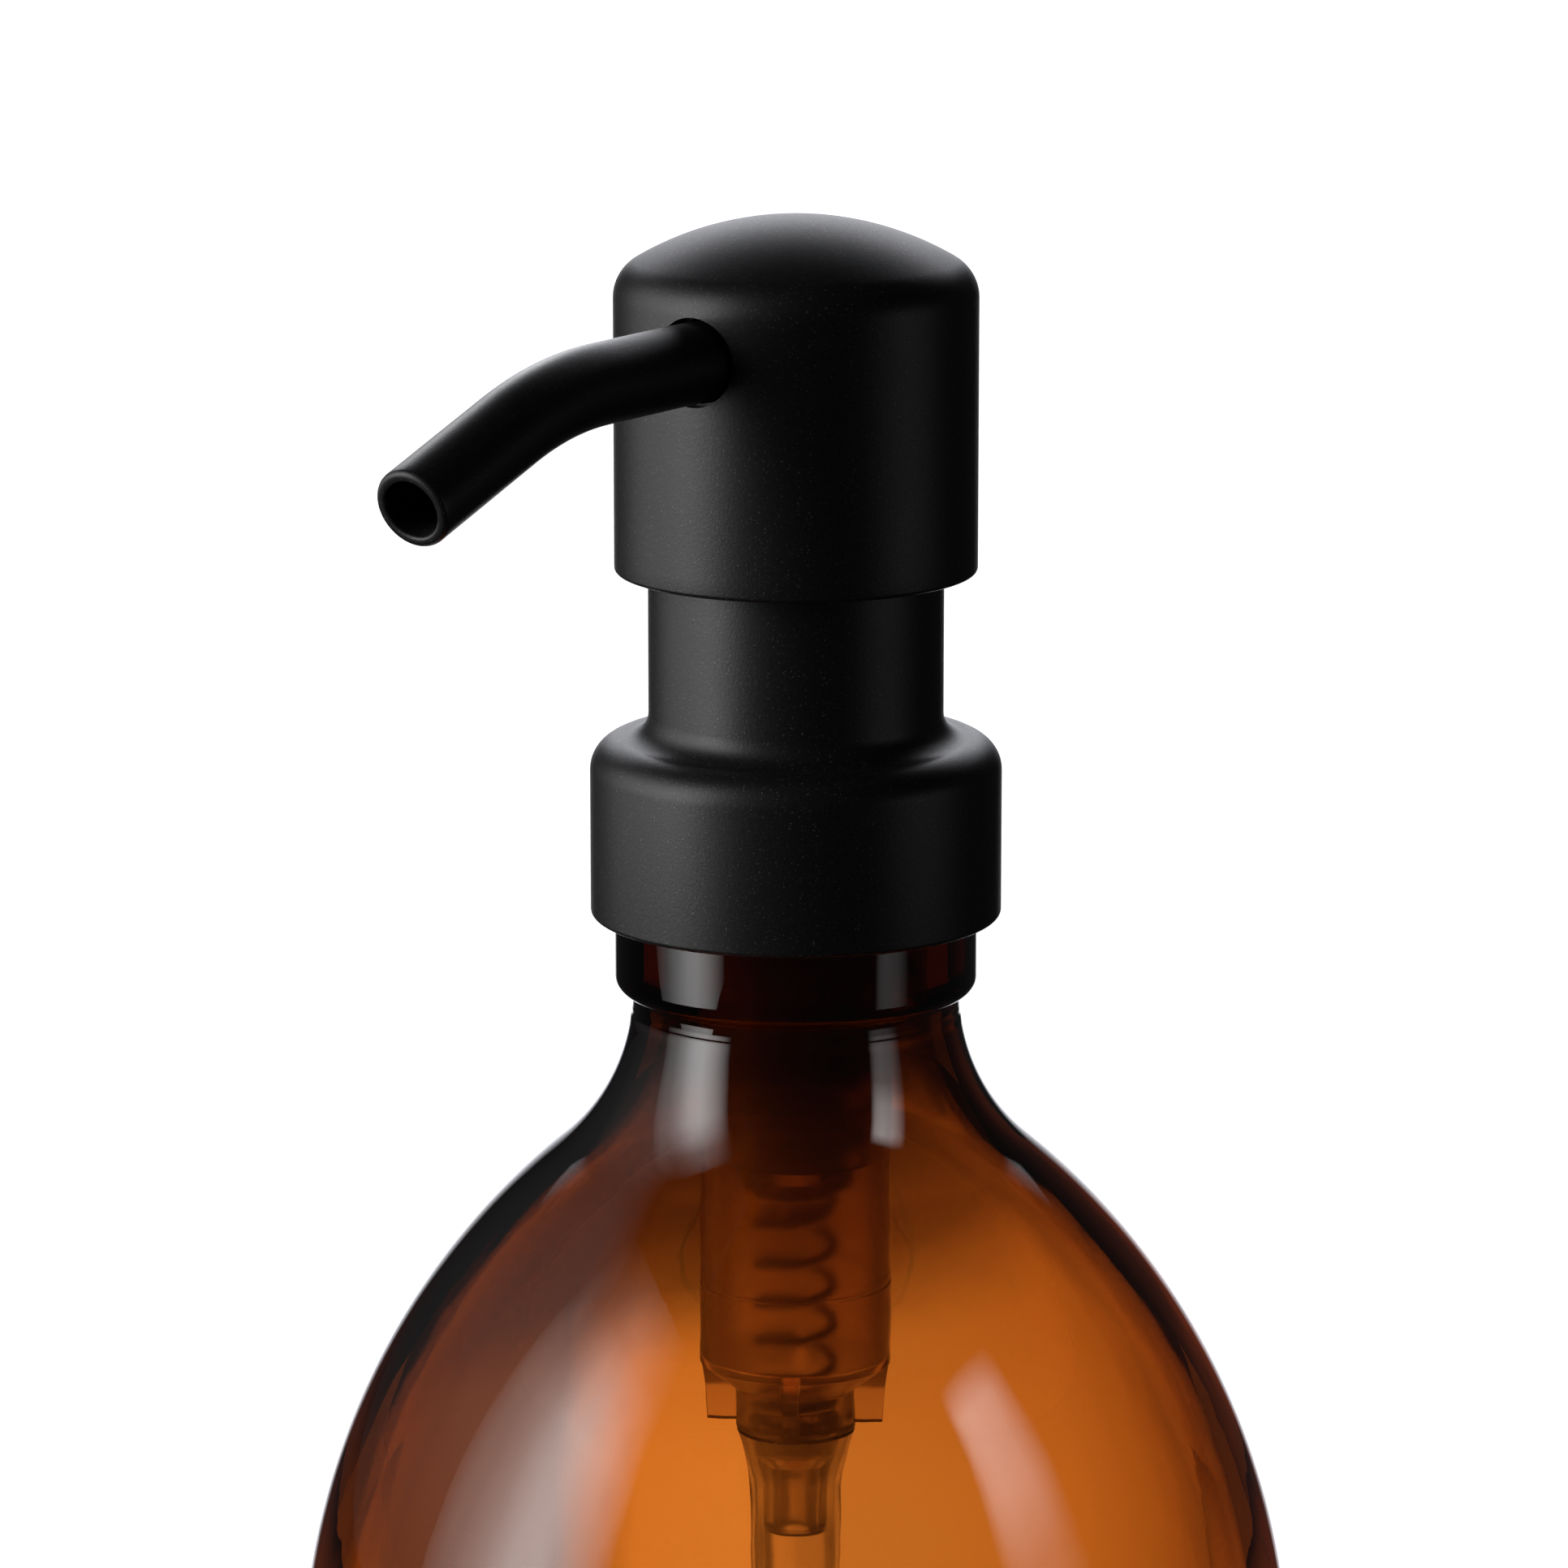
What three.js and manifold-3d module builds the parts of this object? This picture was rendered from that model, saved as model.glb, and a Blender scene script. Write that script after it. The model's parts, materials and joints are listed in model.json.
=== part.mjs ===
// A pump bottle for liquid soap: an amber glass bottle with a metal-clad lotion pump on a threaded neck.
// Millimetres, +Z up. The origin is on the bottle's axis, in the plane that the bottle stands on.
// Angles round the axis are measured in degrees from -Y towards -X.
import * as THREE from "three";
import { mergeVertices } from "three/addons/utils/BufferGeometryUtils.js";
import Module from "manifold-3d";

const wasm = await Module();
wasm.setup();

// Bottle
const BOTTLE_HEIGHT = 172;
const BODY_RADIUS = 39.4;
const GLASS = 2.5;
const HEEL_RADIUS = 5;
const INNER_HEEL_RADIUS = 6;
const BEARING_WIDTH = 3;
const BASE_THICKNESS = 4.5;
const PUNT_HEIGHT = 4;
const SHOULDER_SLOPE = 50;
const NECK_FILLET = 16.4;

// Threaded finish of the bottle, and the bead under it
const FINISH_RADIUS = 12.5;
const FINISH_WALL = 2.2;
const RIM_ROUND = 0.6;
const BEAD_RADIUS = 14.15;
const BEAD_TOP_DROP = 9;
const BEAD_HEIGHT = 7.3;
const BEAD_ROUND = 1.3;
const THREAD_PITCH = 4.23;
const THREAD_RIB = 1.25;
const THREAD_TURNS = 1.25;
const THREAD_TOP_DROP = 1.95;

// Screw closure and its metal shroud
const THREAD_GAP = 0.35;
const CLOSURE_WALL = 1;
const CLOSURE_PLATE = 0.7;
const CLOSURE_SKIRT = 11.35;
const CLOSURE_RIB = 1;
const CLOSURE_TURNS = 1.5;
const SHROUD_WALL = 0.6;
const COLLAR_HEIGHT = 13.96;
const COLLAR_EDGE = 1;
const SHOULDER_ROUND = 2.5;
const SLEEVE_FILLET = 2;
const SHOULDER_LEDGE = 0.05;

// Pump housing
const HOUSING_BORE = 6.3;
const HOUSING_WALL = 1.2;
const FLANGE_THICKNESS = 0.9;
const FLANGE_OVERLAP = 0.1;
const BARREL_LENGTH = 47.8;
const CONE_HEIGHT = 2.2;
const FIN_THICKNESS = 1.2;
const FIN_COUNT = 4;
const FIN_ANGLE = 15.5;
const FIN_HEIGHT = 4.8;
const SPRING_WELL_DEPTH = 3.2;
const WELL_WALL = 0.78;
const BALL_SEAT_DROP = 2.8;
const CONE_LEAD = 0.4;
const WELL_LEAD = 0.2;
const TAIL_TOP_RADIUS = 3.55;
const TAIL_RADIUS = 2.55;
const TAIL_TAPER = 4.2;
const TAIL_LENGTH = 8.4;
const TAIL_LEAD = 0.6;
const INLET_RADIUS = 1.2;

// Small pieces of the pump
const GASKET_THICKNESS = 1;
const BALL_RADIUS = 1.75;
const BALL_LIFT = 1;
const CAGE_WALL = 0.35;
const CAGE_FLANGE = 0.6;
const CAGE_BAR = 0.7;
const SPRING_WIRE = 0.8;
const SPRING_RADIUS = 3;
const SPRING_TURNS = 7;
const SEAT_THICKNESS = 2;
const SEAT_RADIUS = 4.6;
const SEAT_BEVEL = 0.9;
const SEAT_PIN_DEPTH = 3;
const SPIGOT_LENGTH = 6;
const SPIGOT_RIB = 1.1;
const PISTON_LENGTH = 5.7;
const PISTON_HUB = 1;
const PISTON_LIP = 0.6;
const PISTON_LIP_RECESS = 0.25;
const PISTON_WEB = 0.5;
const PISTON_SLIP = 1.2;
const STEM_RADIUS = 3;
const STEM_BORE = 2;
const STEM_FLANGE = 1;
const STEM_PORT_WIDTH = 1.2;
const STEM_PORT_HEIGHT = 1.8;
const GUIDE_SKIRT = 24.5;
const GUIDE_SKIRT_WALL = 1;
const GUIDE_FLOOR = 2.3;
const TOWER_WALL = 1.4;
const TOWER_RECESS = 0.6;

// Dip tube
const TUBE_RADIUS = 3.6;
const TUBE_WALL = 0.95;
const TUBE_CUT_ANGLE = 45;
const TUBE_FLOOR_GAP = 3.5;

// Head, which the hand presses, and its spout
const HEAD_TRAVEL = 11.5;
const VISIBLE_SLEEVE = 13.13;
const HEAD_GAP = 1.7;
const HEAD_WALL = 0.9;
const HEAD_HEIGHT = 27.5;
const DOME_RATIO = 1.744;
const HEAD_ROUND = 3.3;
const CORE_BOSS_RADIUS = 6.5;
const CORE_BOSS_RECESS = 1;
const CORE_DISC = 1.5;
const CORE_RIM_HEIGHT = 3;
const CORE_RIM_WALL = 1;
const CORE_SOCKET_DEPTH = 13;
const SPOUT_HEIGHT = 17.97;
const SPOUT_ANGLE = 45;
const SPOUT_RADIUS = 3.075;
const SPOUT_BORE = 2.225;
const SPOUT_ROOT = 6;
const SPOUT_STRAIGHT = 20;
const SPOUT_BEND_RADIUS = 35;
const SPOUT_BEND = 19;
const SPOUT_TIP = 12.6;
const SPOUT_SOCKET_WALL = 1.2;

// Clearances
const FACE_GAP = 0.1;
const TURN_GAP = 0.3;
const SHELL_GAP = 0.35;
const BARREL_GAP = 0.2;
const PLATE_GAP = 0.15;
const SPOUT_HOLE_GAP = 0.35;
const WELL_GAP = 0.5;
const BALL_GAP = 0.05;
const PIN_GAP = 0.4;
const STEM_FLANGE_GAP = 0.5;

// How far a cutting tool reaches past the piece that it cuts
const CUT_REACH = 1;

// Facets
const BOTTLE_SIDES = 40;
const SIDES = 24;
const SMALL_SIDES = 16;

// Radii that follow from the finish outwards, and from the closure inwards
const boreRadius = FINISH_RADIUS - FINISH_WALL;
const neckRadius = boreRadius + GLASS;
const closureInner = FINISH_RADIUS + THREAD_RIB + THREAD_GAP;
const closureOuter = closureInner + CLOSURE_WALL;
const collarRadius = closureOuter + TURN_GAP + SHROUD_WALL;
const sleeveRadius = collarRadius - SHOULDER_ROUND - SHOULDER_LEDGE - SLEEVE_FILLET;
const towerRadius = sleeveRadius - SHROUD_WALL - SHELL_GAP;
const headInner = sleeveRadius + HEAD_GAP;
const headRadius = headInner + HEAD_WALL;
const domeRadius = DOME_RATIO * headRadius;
const barrelRadius = HOUSING_BORE + HOUSING_WALL;
const wellRadius = SPRING_RADIUS + SPRING_WIRE / 2 + WELL_GAP;
const wellOuter = wellRadius + WELL_WALL;
const chamberRadius = BALL_RADIUS + SHELL_GAP;

// Heights that follow from the bottle's rim upwards
const gasketBottom = BOTTLE_HEIGHT + FACE_GAP;
const flangeBottom = gasketBottom + GASKET_THICKNESS + FACE_GAP;
const flangeTop = flangeBottom + FLANGE_THICKNESS;
const plateBottom = flangeTop + PLATE_GAP;
const plateTop = plateBottom + CLOSURE_PLATE;
const shoulderTop = plateTop + PLATE_GAP + FACE_GAP + SHROUD_WALL;
const collarBottom = shoulderTop - COLLAR_HEIGHT;
const headBottom = shoulderTop + VISIBLE_SLEEVE;
const headTop = headBottom + HEAD_HEIGHT;
const spoutZ = headBottom + SPOUT_HEIGHT;
const coreDiscBottom = spoutZ - SPOUT_RADIUS - SPOUT_SOCKET_WALL;
const sleeveTop = coreDiscBottom - HEAD_TRAVEL - TURN_GAP;
const guideBottom = flangeTop + FACE_GAP;
const guideFloorTop = guideBottom + GUIDE_FLOOR;

// Heights that follow from the housing's flange and from the guide's skirt downwards
const coneTop = flangeBottom - BARREL_LENGTH;
const coneBottom = coneTop - CONE_HEIGHT;
const wellFloor = coneBottom - SPRING_WELL_DEPTH;
const tailTaperEnd = wellFloor - TAIL_TAPER;
const tailBottom = wellFloor - TAIL_LENGTH;
const seatConeZ = wellFloor - BALL_SEAT_DROP;
const ballZ = seatConeZ - INLET_RADIUS + Math.SQRT2 * (BALL_RADIUS + BALL_GAP);
const cageBottom = wellFloor + FACE_GAP;
const cageTop = ballZ + BALL_RADIUS + BALL_LIFT + TURN_GAP + CAGE_FLANGE;
const springBottom = cageBottom + CAGE_FLANGE + FACE_GAP;
const skirtBottom = guideBottom - GUIDE_SKIRT;
const stemFlangeTop = skirtBottom - TURN_GAP;
const stemFlangeBottom = stemFlangeTop - STEM_FLANGE;
const pistonTop = stemFlangeBottom - FACE_GAP - PISTON_SLIP;
const pistonBottom = pistonTop - PISTON_LENGTH;
const seatTop = pistonBottom - TURN_GAP;
const seatBottom = seatTop - SEAT_THICKNESS;
const springTop = seatBottom - FACE_GAP;

const radians = THREE.MathUtils.degToRad;

// The points of a circular arc in the (radius, height) plane. Angles are in degrees, 0 outwards and 90 upwards.
function arc(centreR, centreZ, radius, from, to, steps) {
  return Array.from({ length: steps + 1 }, (_, i) => {
    const angle = radians(from + ((to - from) * i) / steps);
    return [centreR + radius * Math.cos(angle), centreZ + radius * Math.sin(angle)];
  });
}

// A shallow dome's points from its edge at (edgeRadius, edgeZ) to the axis, rising by rise.
function domeFromEdge(edgeRadius, edgeZ, rise, steps) {
  const radius = (edgeRadius ** 2 + rise ** 2) / (2 * rise);
  const half = THREE.MathUtils.radToDeg(Math.asin(edgeRadius / radius));
  const points = arc(0, edgeZ + rise - radius, radius, 90 - half, 90, steps);
  points[steps][0] = 0;
  return points;
}

// A counterclockwise (radius, height) outline turned round the Z axis. It closes on the axis or on itself.
function turned(outline, sides = SIDES) {
  const closed = outline[0][0] === 0 ? outline : [...outline, outline[0]];
  const points = closed.map(([r, z]) => new THREE.Vector2(r, z));
  return new THREE.LatheGeometry(points, sides).rotateX(Math.PI / 2);
}

function toSolid(geometry) {
  const bare = geometry.clone();
  bare.deleteAttribute("normal");
  bare.deleteAttribute("uv");
  const merged = mergeVertices(bare, 1e-4);
  return new wasm.Manifold(
    new wasm.Mesh({
      numProp: 3,
      vertProperties: merged.attributes.position.array,
      triVerts: new Uint32Array(merged.index.array),
    }),
  );
}

function toGeometry(solid) {
  const mesh = solid.getMesh();
  const geometry = new THREE.BufferGeometry();
  geometry.setAttribute("position", new THREE.BufferAttribute(mesh.vertProperties, 3));
  geometry.setIndex(new THREE.BufferAttribute(mesh.triVerts, 1));
  geometry.computeVertexNormals();
  return geometry;
}

function join(first, ...others) {
  return toGeometry(others.reduce((whole, next) => whole.add(toSolid(next)), toSolid(first)));
}

function cut(base, ...tools) {
  return toGeometry(tools.reduce((left, tool) => left.subtract(toSolid(tool)), toSolid(base)));
}

// A round bar between two points.
function rod(radius, from, to, sides = SMALL_SIDES) {
  const along = to.clone().sub(from);
  const turn = new THREE.Quaternion().setFromUnitVectors(
    new THREE.Vector3(0, 1, 0),
    along.clone().normalize(),
  );
  const middle = from.clone().add(to).multiplyScalar(0.5);
  return new THREE.CylinderGeometry(radius, radius, along.length(), sides)
    .applyQuaternion(turn)
    .translate(middle.x, middle.y, middle.z);
}

// A box centred on the Z axis, from one height to another.
function bar(width, depth, bottom, top) {
  const height = top - bottom;
  return new THREE.BoxGeometry(width, depth, height).translate(0, 0, bottom + height / 2);
}

// A helix round the Z axis, right-handed, counted in turns.
class Helix extends THREE.Curve {
  constructor(radius, bottom, pitch, fromTurn, toTurn) {
    super();
    Object.assign(this, { radius, bottom, pitch, fromTurn, toTurn });
  }
  getPoint(t, target = new THREE.Vector3()) {
    const turn = this.fromTurn + (this.toTurn - this.fromTurn) * t;
    const angle = 2 * Math.PI * turn;
    const z = this.bottom + this.pitch * turn;
    return target.set(this.radius * Math.cos(angle), this.radius * Math.sin(angle), z);
  }
}

// A compression spring's wire: its first and last turns lie closed, and the turns between them are open.
class SpringCoil extends THREE.Curve {
  getPoint(t, target = new THREE.Vector3()) {
    const turn = SPRING_TURNS * t;
    const closedPitch = SPRING_WIRE + FACE_GAP;
    const free = springTop - springBottom - SPRING_WIRE - 2 * closedPitch;
    const closedTurns = Math.min(turn, 1) + Math.max(turn - (SPRING_TURNS - 1), 0);
    const openTurns = turn - closedTurns;
    const rise = closedPitch * closedTurns + (free * openTurns) / (SPRING_TURNS - 2);
    const angle = 2 * Math.PI * turn;
    const z = springBottom + SPRING_WIRE / 2 + rise;
    return target.set(SPRING_RADIUS * Math.cos(angle), SPRING_RADIUS * Math.sin(angle), z);
  }
}

// The spout's centre line towards -Y: straight, then bent down, then straight again to the tip.
class SpoutLine extends THREE.Curve {
  getPoint(t, target = new THREE.Vector3()) {
    const bend = radians(SPOUT_BEND);
    const bendLength = SPOUT_BEND_RADIUS * bend;
    const along = t * (SPOUT_STRAIGHT + bendLength + SPOUT_TIP);
    const straight = Math.min(along, SPOUT_STRAIGHT);
    const turned = Math.min(Math.max(along - SPOUT_STRAIGHT, 0), bendLength) / SPOUT_BEND_RADIUS;
    const tip = Math.max(along - SPOUT_STRAIGHT - bendLength, 0);
    const out = straight + SPOUT_BEND_RADIUS * Math.sin(turned) + tip * Math.cos(bend);
    const down = SPOUT_BEND_RADIUS * (1 - Math.cos(turned)) + tip * Math.sin(bend);
    return target.set(0, -(SPOUT_ROOT + out), spoutZ - down);
  }
}

// A round section, hollow where bore is above 0, carried along a curve.
function tubeAlong(curve, radius, bore, steps, sides) {
  const section = new THREE.Shape().absarc(0, 0, radius, 0, 2 * Math.PI);
  if (bore > 0) section.holes.push(new THREE.Path().absarc(0, 0, bore, 0, 2 * Math.PI, true));
  const settings = { steps, extrudePath: curve, bevelEnabled: false, curveSegments: sides / 2 };
  return new THREE.ExtrudeGeometry(section, settings);
}

// The bottle's side from shoulder to bead is a convex arc that meets a concave one where it is steepest.
// offset moves it inwards through the glass. The points run upwards.
function bottleSide(offset, steps) {
  const slope = radians(SHOULDER_SLOPE);
  const filletZ = BOTTLE_HEIGHT - BEAD_TOP_DROP - BEAD_HEIGHT;
  const meetR = neckRadius + NECK_FILLET * (1 - Math.cos(slope));
  const meetZ = filletZ - NECK_FILLET * Math.sin(slope);
  const shoulderRadius = (BODY_RADIUS - meetR) / (1 - Math.cos(slope));
  const shoulderZ = meetZ - shoulderRadius * Math.sin(slope);
  const shoulderR = BODY_RADIUS - shoulderRadius;
  const shoulder = arc(shoulderR, shoulderZ, shoulderRadius - offset, 0, SHOULDER_SLOPE, steps);
  const filletR = neckRadius + NECK_FILLET;
  const fillet = arc(filletR, filletZ, NECK_FILLET + offset, 180 + SHOULDER_SLOPE, 180, steps - 2);
  return [...shoulder, ...fillet.slice(1)];
}

function bottle() {
  const beadTop = BOTTLE_HEIGHT - BEAD_TOP_DROP;
  const beadBottom = beadTop - BEAD_HEIGHT;
  const bearingInner = BODY_RADIUS - HEEL_RADIUS - BEARING_WIDTH;
  const innerRadius = BODY_RADIUS - GLASS;
  const floorEdge = innerRadius - INNER_HEEL_RADIUS;
  const outline = [
    ...domeFromEdge(bearingInner, 0, PUNT_HEIGHT, 3).reverse(),
    ...arc(BODY_RADIUS - HEEL_RADIUS, HEEL_RADIUS, HEEL_RADIUS, -90, 0, 3),
    ...bottleSide(0, 7),
    ...arc(BEAD_RADIUS - BEAD_ROUND, beadBottom + BEAD_ROUND, BEAD_ROUND, -90, 0, 3),
    ...arc(BEAD_RADIUS - RIM_ROUND, beadTop - RIM_ROUND, RIM_ROUND, 0, 90, 2),
    [FINISH_RADIUS, beadTop],
    ...arc(FINISH_RADIUS - RIM_ROUND, BOTTLE_HEIGHT - RIM_ROUND, RIM_ROUND, 0, 90, 2),
    ...arc(boreRadius + RIM_ROUND, BOTTLE_HEIGHT - RIM_ROUND, RIM_ROUND, 90, 180, 2),
    ...bottleSide(GLASS, 5).reverse(),
    ...arc(floorEdge, BASE_THICKNESS + INNER_HEEL_RADIUS, INNER_HEEL_RADIUS, 0, -90, 3),
    ...domeFromEdge(floorEdge, BASE_THICKNESS, PUNT_HEIGHT, 3).slice(1),
  ];
  const threadTop = BOTTLE_HEIGHT - THREAD_TOP_DROP;
  const threadBottom = threadTop - THREAD_PITCH * THREAD_TURNS;
  const line = new Helix(FINISH_RADIUS, threadBottom, THREAD_PITCH, 0, THREAD_TURNS);
  return join(turned(outline, BOTTLE_SIDES), tubeAlong(line, THREAD_RIB, 0, 24, 6));
}

function screwClosure() {
  const round = SHOULDER_ROUND - SHROUD_WALL - TURN_GAP;
  const bottom = plateTop - CLOSURE_SKIRT;
  const hole = towerRadius + TURN_GAP;
  const outline = [
    [closureInner, bottom],
    [closureOuter, bottom],
    ...arc(closureOuter - round, plateTop - round, round, 0, 90, 4),
    [hole, plateTop],
    [hole, plateBottom],
    [closureInner, plateBottom],
  ];
  const glassThreadBottom = BOTTLE_HEIGHT - THREAD_TOP_DROP - THREAD_PITCH * THREAD_TURNS;
  const start = glassThreadBottom + THREAD_PITCH / 2;
  const line = new Helix(closureInner, start, THREAD_PITCH, -0.5, CLOSURE_TURNS - 0.5);
  return join(turned(outline), tubeAlong(line, CLOSURE_RIB, 0, 28, 6));
}

// The collar and the sleeve are drawn from one sheet, so their wall is even and their corners are round.
function collarShroud() {
  const filletR = sleeveRadius + SLEEVE_FILLET;
  const filletZ = shoulderTop + SLEEVE_FILLET;
  const roundR = collarRadius - SHOULDER_ROUND;
  const roundZ = shoulderTop - SHOULDER_ROUND;
  const outline = [
    [collarRadius - SHROUD_WALL, collarBottom],
    ...arc(collarRadius - COLLAR_EDGE / 2, collarBottom + COLLAR_EDGE / 2, COLLAR_EDGE / 2, -90, 0, 2),
    ...arc(roundR, roundZ, SHOULDER_ROUND, 0, 90, 5),
    ...arc(filletR, filletZ, SLEEVE_FILLET, 270, 180, 5),
    [sleeveRadius, sleeveTop],
    [sleeveRadius - SHROUD_WALL, sleeveTop],
    ...arc(filletR, filletZ, SLEEVE_FILLET + SHROUD_WALL, 180, 270, 5),
    ...arc(roundR, roundZ, SHOULDER_ROUND - SHROUD_WALL, 90, 0, 5),
  ];
  return turned(outline);
}

function gasket() {
  const top = gasketBottom + GASKET_THICKNESS;
  const inner = barrelRadius + TURN_GAP;
  const outer = FINISH_RADIUS - FACE_GAP;
  return turned([[inner, gasketBottom], [outer, gasketBottom], [outer, top], [inner, top]]);
}

function pumpHousing() {
  const outline = [
    [INLET_RADIUS, tailBottom],
    [TAIL_RADIUS - TAIL_LEAD / 2, tailBottom],
    [TAIL_RADIUS, tailBottom + TAIL_LEAD],
    [TAIL_RADIUS, tailTaperEnd],
    [TAIL_TOP_RADIUS, wellFloor],
    [wellOuter, wellFloor],
    [wellOuter, coneBottom],
    [barrelRadius, coneTop],
    [barrelRadius, flangeBottom],
    [FINISH_RADIUS + FLANGE_OVERLAP, flangeBottom],
    [FINISH_RADIUS + FLANGE_OVERLAP, flangeTop],
    [HOUSING_BORE, flangeTop],
    [HOUSING_BORE, coneTop + CONE_LEAD],
    [wellRadius, coneBottom + WELL_LEAD],
    [wellRadius, wellFloor + FACE_GAP / 2],
    [chamberRadius, wellFloor + FACE_GAP / 2],
    [chamberRadius, seatConeZ + chamberRadius - INLET_RADIUS],
    [INLET_RADIUS, seatConeZ],
  ];
  const finTop = coneTop - FACE_GAP;
  const finRadius = barrelRadius - TURN_GAP;
  const finRoot = (wellRadius + wellOuter) / 2;
  const fin = new THREE.Shape([
    new THREE.Vector2(finRoot, finTop - FIN_HEIGHT),
    new THREE.Vector2(finRadius - TURN_GAP, finTop - FIN_HEIGHT),
    new THREE.Vector2(finRadius, finTop),
    new THREE.Vector2(finRoot, coneBottom),
  ]);
  const fins = Array.from({ length: FIN_COUNT }, (_, i) =>
    new THREE.ExtrudeGeometry(fin, { depth: FIN_THICKNESS, bevelEnabled: false })
      .translate(0, 0, -FIN_THICKNESS / 2)
      .rotateX(Math.PI / 2)
      .rotateZ(radians(-90 - FIN_ANGLE - (360 * i) / FIN_COUNT)),
  );
  return join(turned(outline), ...fins);
}

// The guide snaps into the housing. Its skirt stops the stem, and its tower stiffens the metal sleeve.
function stemGuide() {
  const hole = STEM_RADIUS + TURN_GAP;
  const skirt = HOUSING_BORE - TURN_GAP;
  const towerTop = sleeveTop - TOWER_RECESS;
  return turned([
    [hole, guideBottom - FACE_GAP],
    [skirt - GUIDE_SKIRT_WALL, guideBottom - FACE_GAP],
    [skirt - GUIDE_SKIRT_WALL, skirtBottom],
    [skirt, skirtBottom],
    [skirt, guideBottom],
    [towerRadius, guideBottom],
    [towerRadius, towerTop],
    [towerRadius - TOWER_WALL, towerTop],
    [towerRadius - TOWER_WALL, guideFloorTop],
    [hole, guideFloorTop],
  ]);
}

function dipTube() {
  const floorTop = BASE_THICKNESS + PUNT_HEIGHT;
  const tip = floorTop + TUBE_FLOOR_GAP;
  const grip = FACE_GAP;
  const top = wellFloor - TURN_GAP;
  const flare = TAIL_TOP_RADIUS - TAIL_RADIUS;
  const tube = turned(
    [
      [TUBE_RADIUS - TUBE_WALL, tip],
      [TUBE_RADIUS, tip],
      [TUBE_RADIUS, tailTaperEnd],
      [TUBE_RADIUS + flare, top],
      [TAIL_TOP_RADIUS + grip, top],
      [TAIL_RADIUS + grip, tailTaperEnd],
      [TUBE_RADIUS - TUBE_WALL, tailBottom],
    ],
    SMALL_SIDES,
  );
  const size = 8 * TUBE_RADIUS;
  const wedge = new THREE.BoxGeometry(size, size, size)
    .translate(0, 0, -size / 2)
    .rotateY(radians(TUBE_CUT_ANGLE))
    .translate(0, 0, tip + TUBE_RADIUS * Math.tan(radians(TUBE_CUT_ANGLE)));
  return cut(tube, wedge);
}

function inletBall() {
  return turned(arcWithPoles(ballZ, BALL_RADIUS, 10), SMALL_SIDES);
}

function arcWithPoles(z, radius, steps) {
  const points = arc(0, z, radius, -90, 90, steps);
  points[0][0] = 0;
  points[steps][0] = 0;
  return points;
}

// A flanged ring on the ledge over the ball. The spring sits on its flange, and its crossbars hold the ball down.
function ballCage() {
  const inner = BALL_RADIUS + SHELL_GAP - FACE_GAP;
  const outer = inner + CAGE_WALL;
  const flange = wellRadius - TURN_GAP;
  const ring = turned(
    [
      [inner, cageBottom],
      [flange, cageBottom],
      [flange, cageBottom + CAGE_FLANGE],
      [outer, cageBottom + CAGE_FLANGE],
      [outer, cageTop],
      [inner, cageTop],
    ],
    SMALL_SIDES,
  );
  const span = 2 * inner + CAGE_WALL;
  const barBottom = cageTop - CAGE_FLANGE;
  return join(ring, bar(span, CAGE_BAR, barBottom, cageTop), bar(CAGE_BAR, span, barBottom, cageTop));
}

function returnSpring() {
  return tubeAlong(new SpringCoil(), SPRING_WIRE / 2, 0, 10 * SPRING_TURNS, 6);
}

// The plug in the stem's foot: a pin inside the spring, a bevelled disc under the piston and a fluted spigot.
function valveSeat() {
  const pin = SPRING_RADIUS - SPRING_WIRE / 2 - PIN_GAP;
  const disc = turned(
    [
      [0, seatBottom - SEAT_PIN_DEPTH],
      [pin, seatBottom - SEAT_PIN_DEPTH],
      [pin, seatBottom],
      [SEAT_RADIUS, seatBottom],
      [SEAT_RADIUS, seatTop - SEAT_BEVEL],
      [SEAT_RADIUS - SEAT_BEVEL, seatTop],
      [0, seatTop],
    ],
    SMALL_SIDES,
  );
  const width = 2 * (STEM_BORE - TURN_GAP);
  const foot = seatTop - FACE_GAP;
  const top = seatTop + SPIGOT_LENGTH;
  return join(disc, bar(width, SPIGOT_RIB, foot, top), bar(SPIGOT_RIB, width, foot, top));
}

function piston() {
  const hub = STEM_RADIUS + BARREL_GAP;
  const hubOuter = hub + PISTON_HUB;
  const lip = HOUSING_BORE - BARREL_GAP;
  const middle = (pistonBottom + pistonTop) / 2;
  const lipHalf = PISTON_LENGTH / 2 - PISTON_LIP_RECESS;
  const web = PISTON_WEB;
  return turned([
    [hub, pistonBottom],
    [hubOuter, pistonBottom],
    [hubOuter, middle - web],
    [lip - PISTON_LIP - FACE_GAP, middle - web],
    [lip - PISTON_LIP, middle - lipHalf],
    [lip, middle - lipHalf],
    [lip - BARREL_GAP, middle - lipHalf / 2],
    [lip - BARREL_GAP, middle + lipHalf / 2],
    [lip, middle + lipHalf],
    [lip - PISTON_LIP, middle + lipHalf],
    [lip - PISTON_LIP - FACE_GAP, middle + web],
    [hubOuter, middle + web],
    [hubOuter, pistonTop],
    [hub, pistonTop],
  ]);
}

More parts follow.
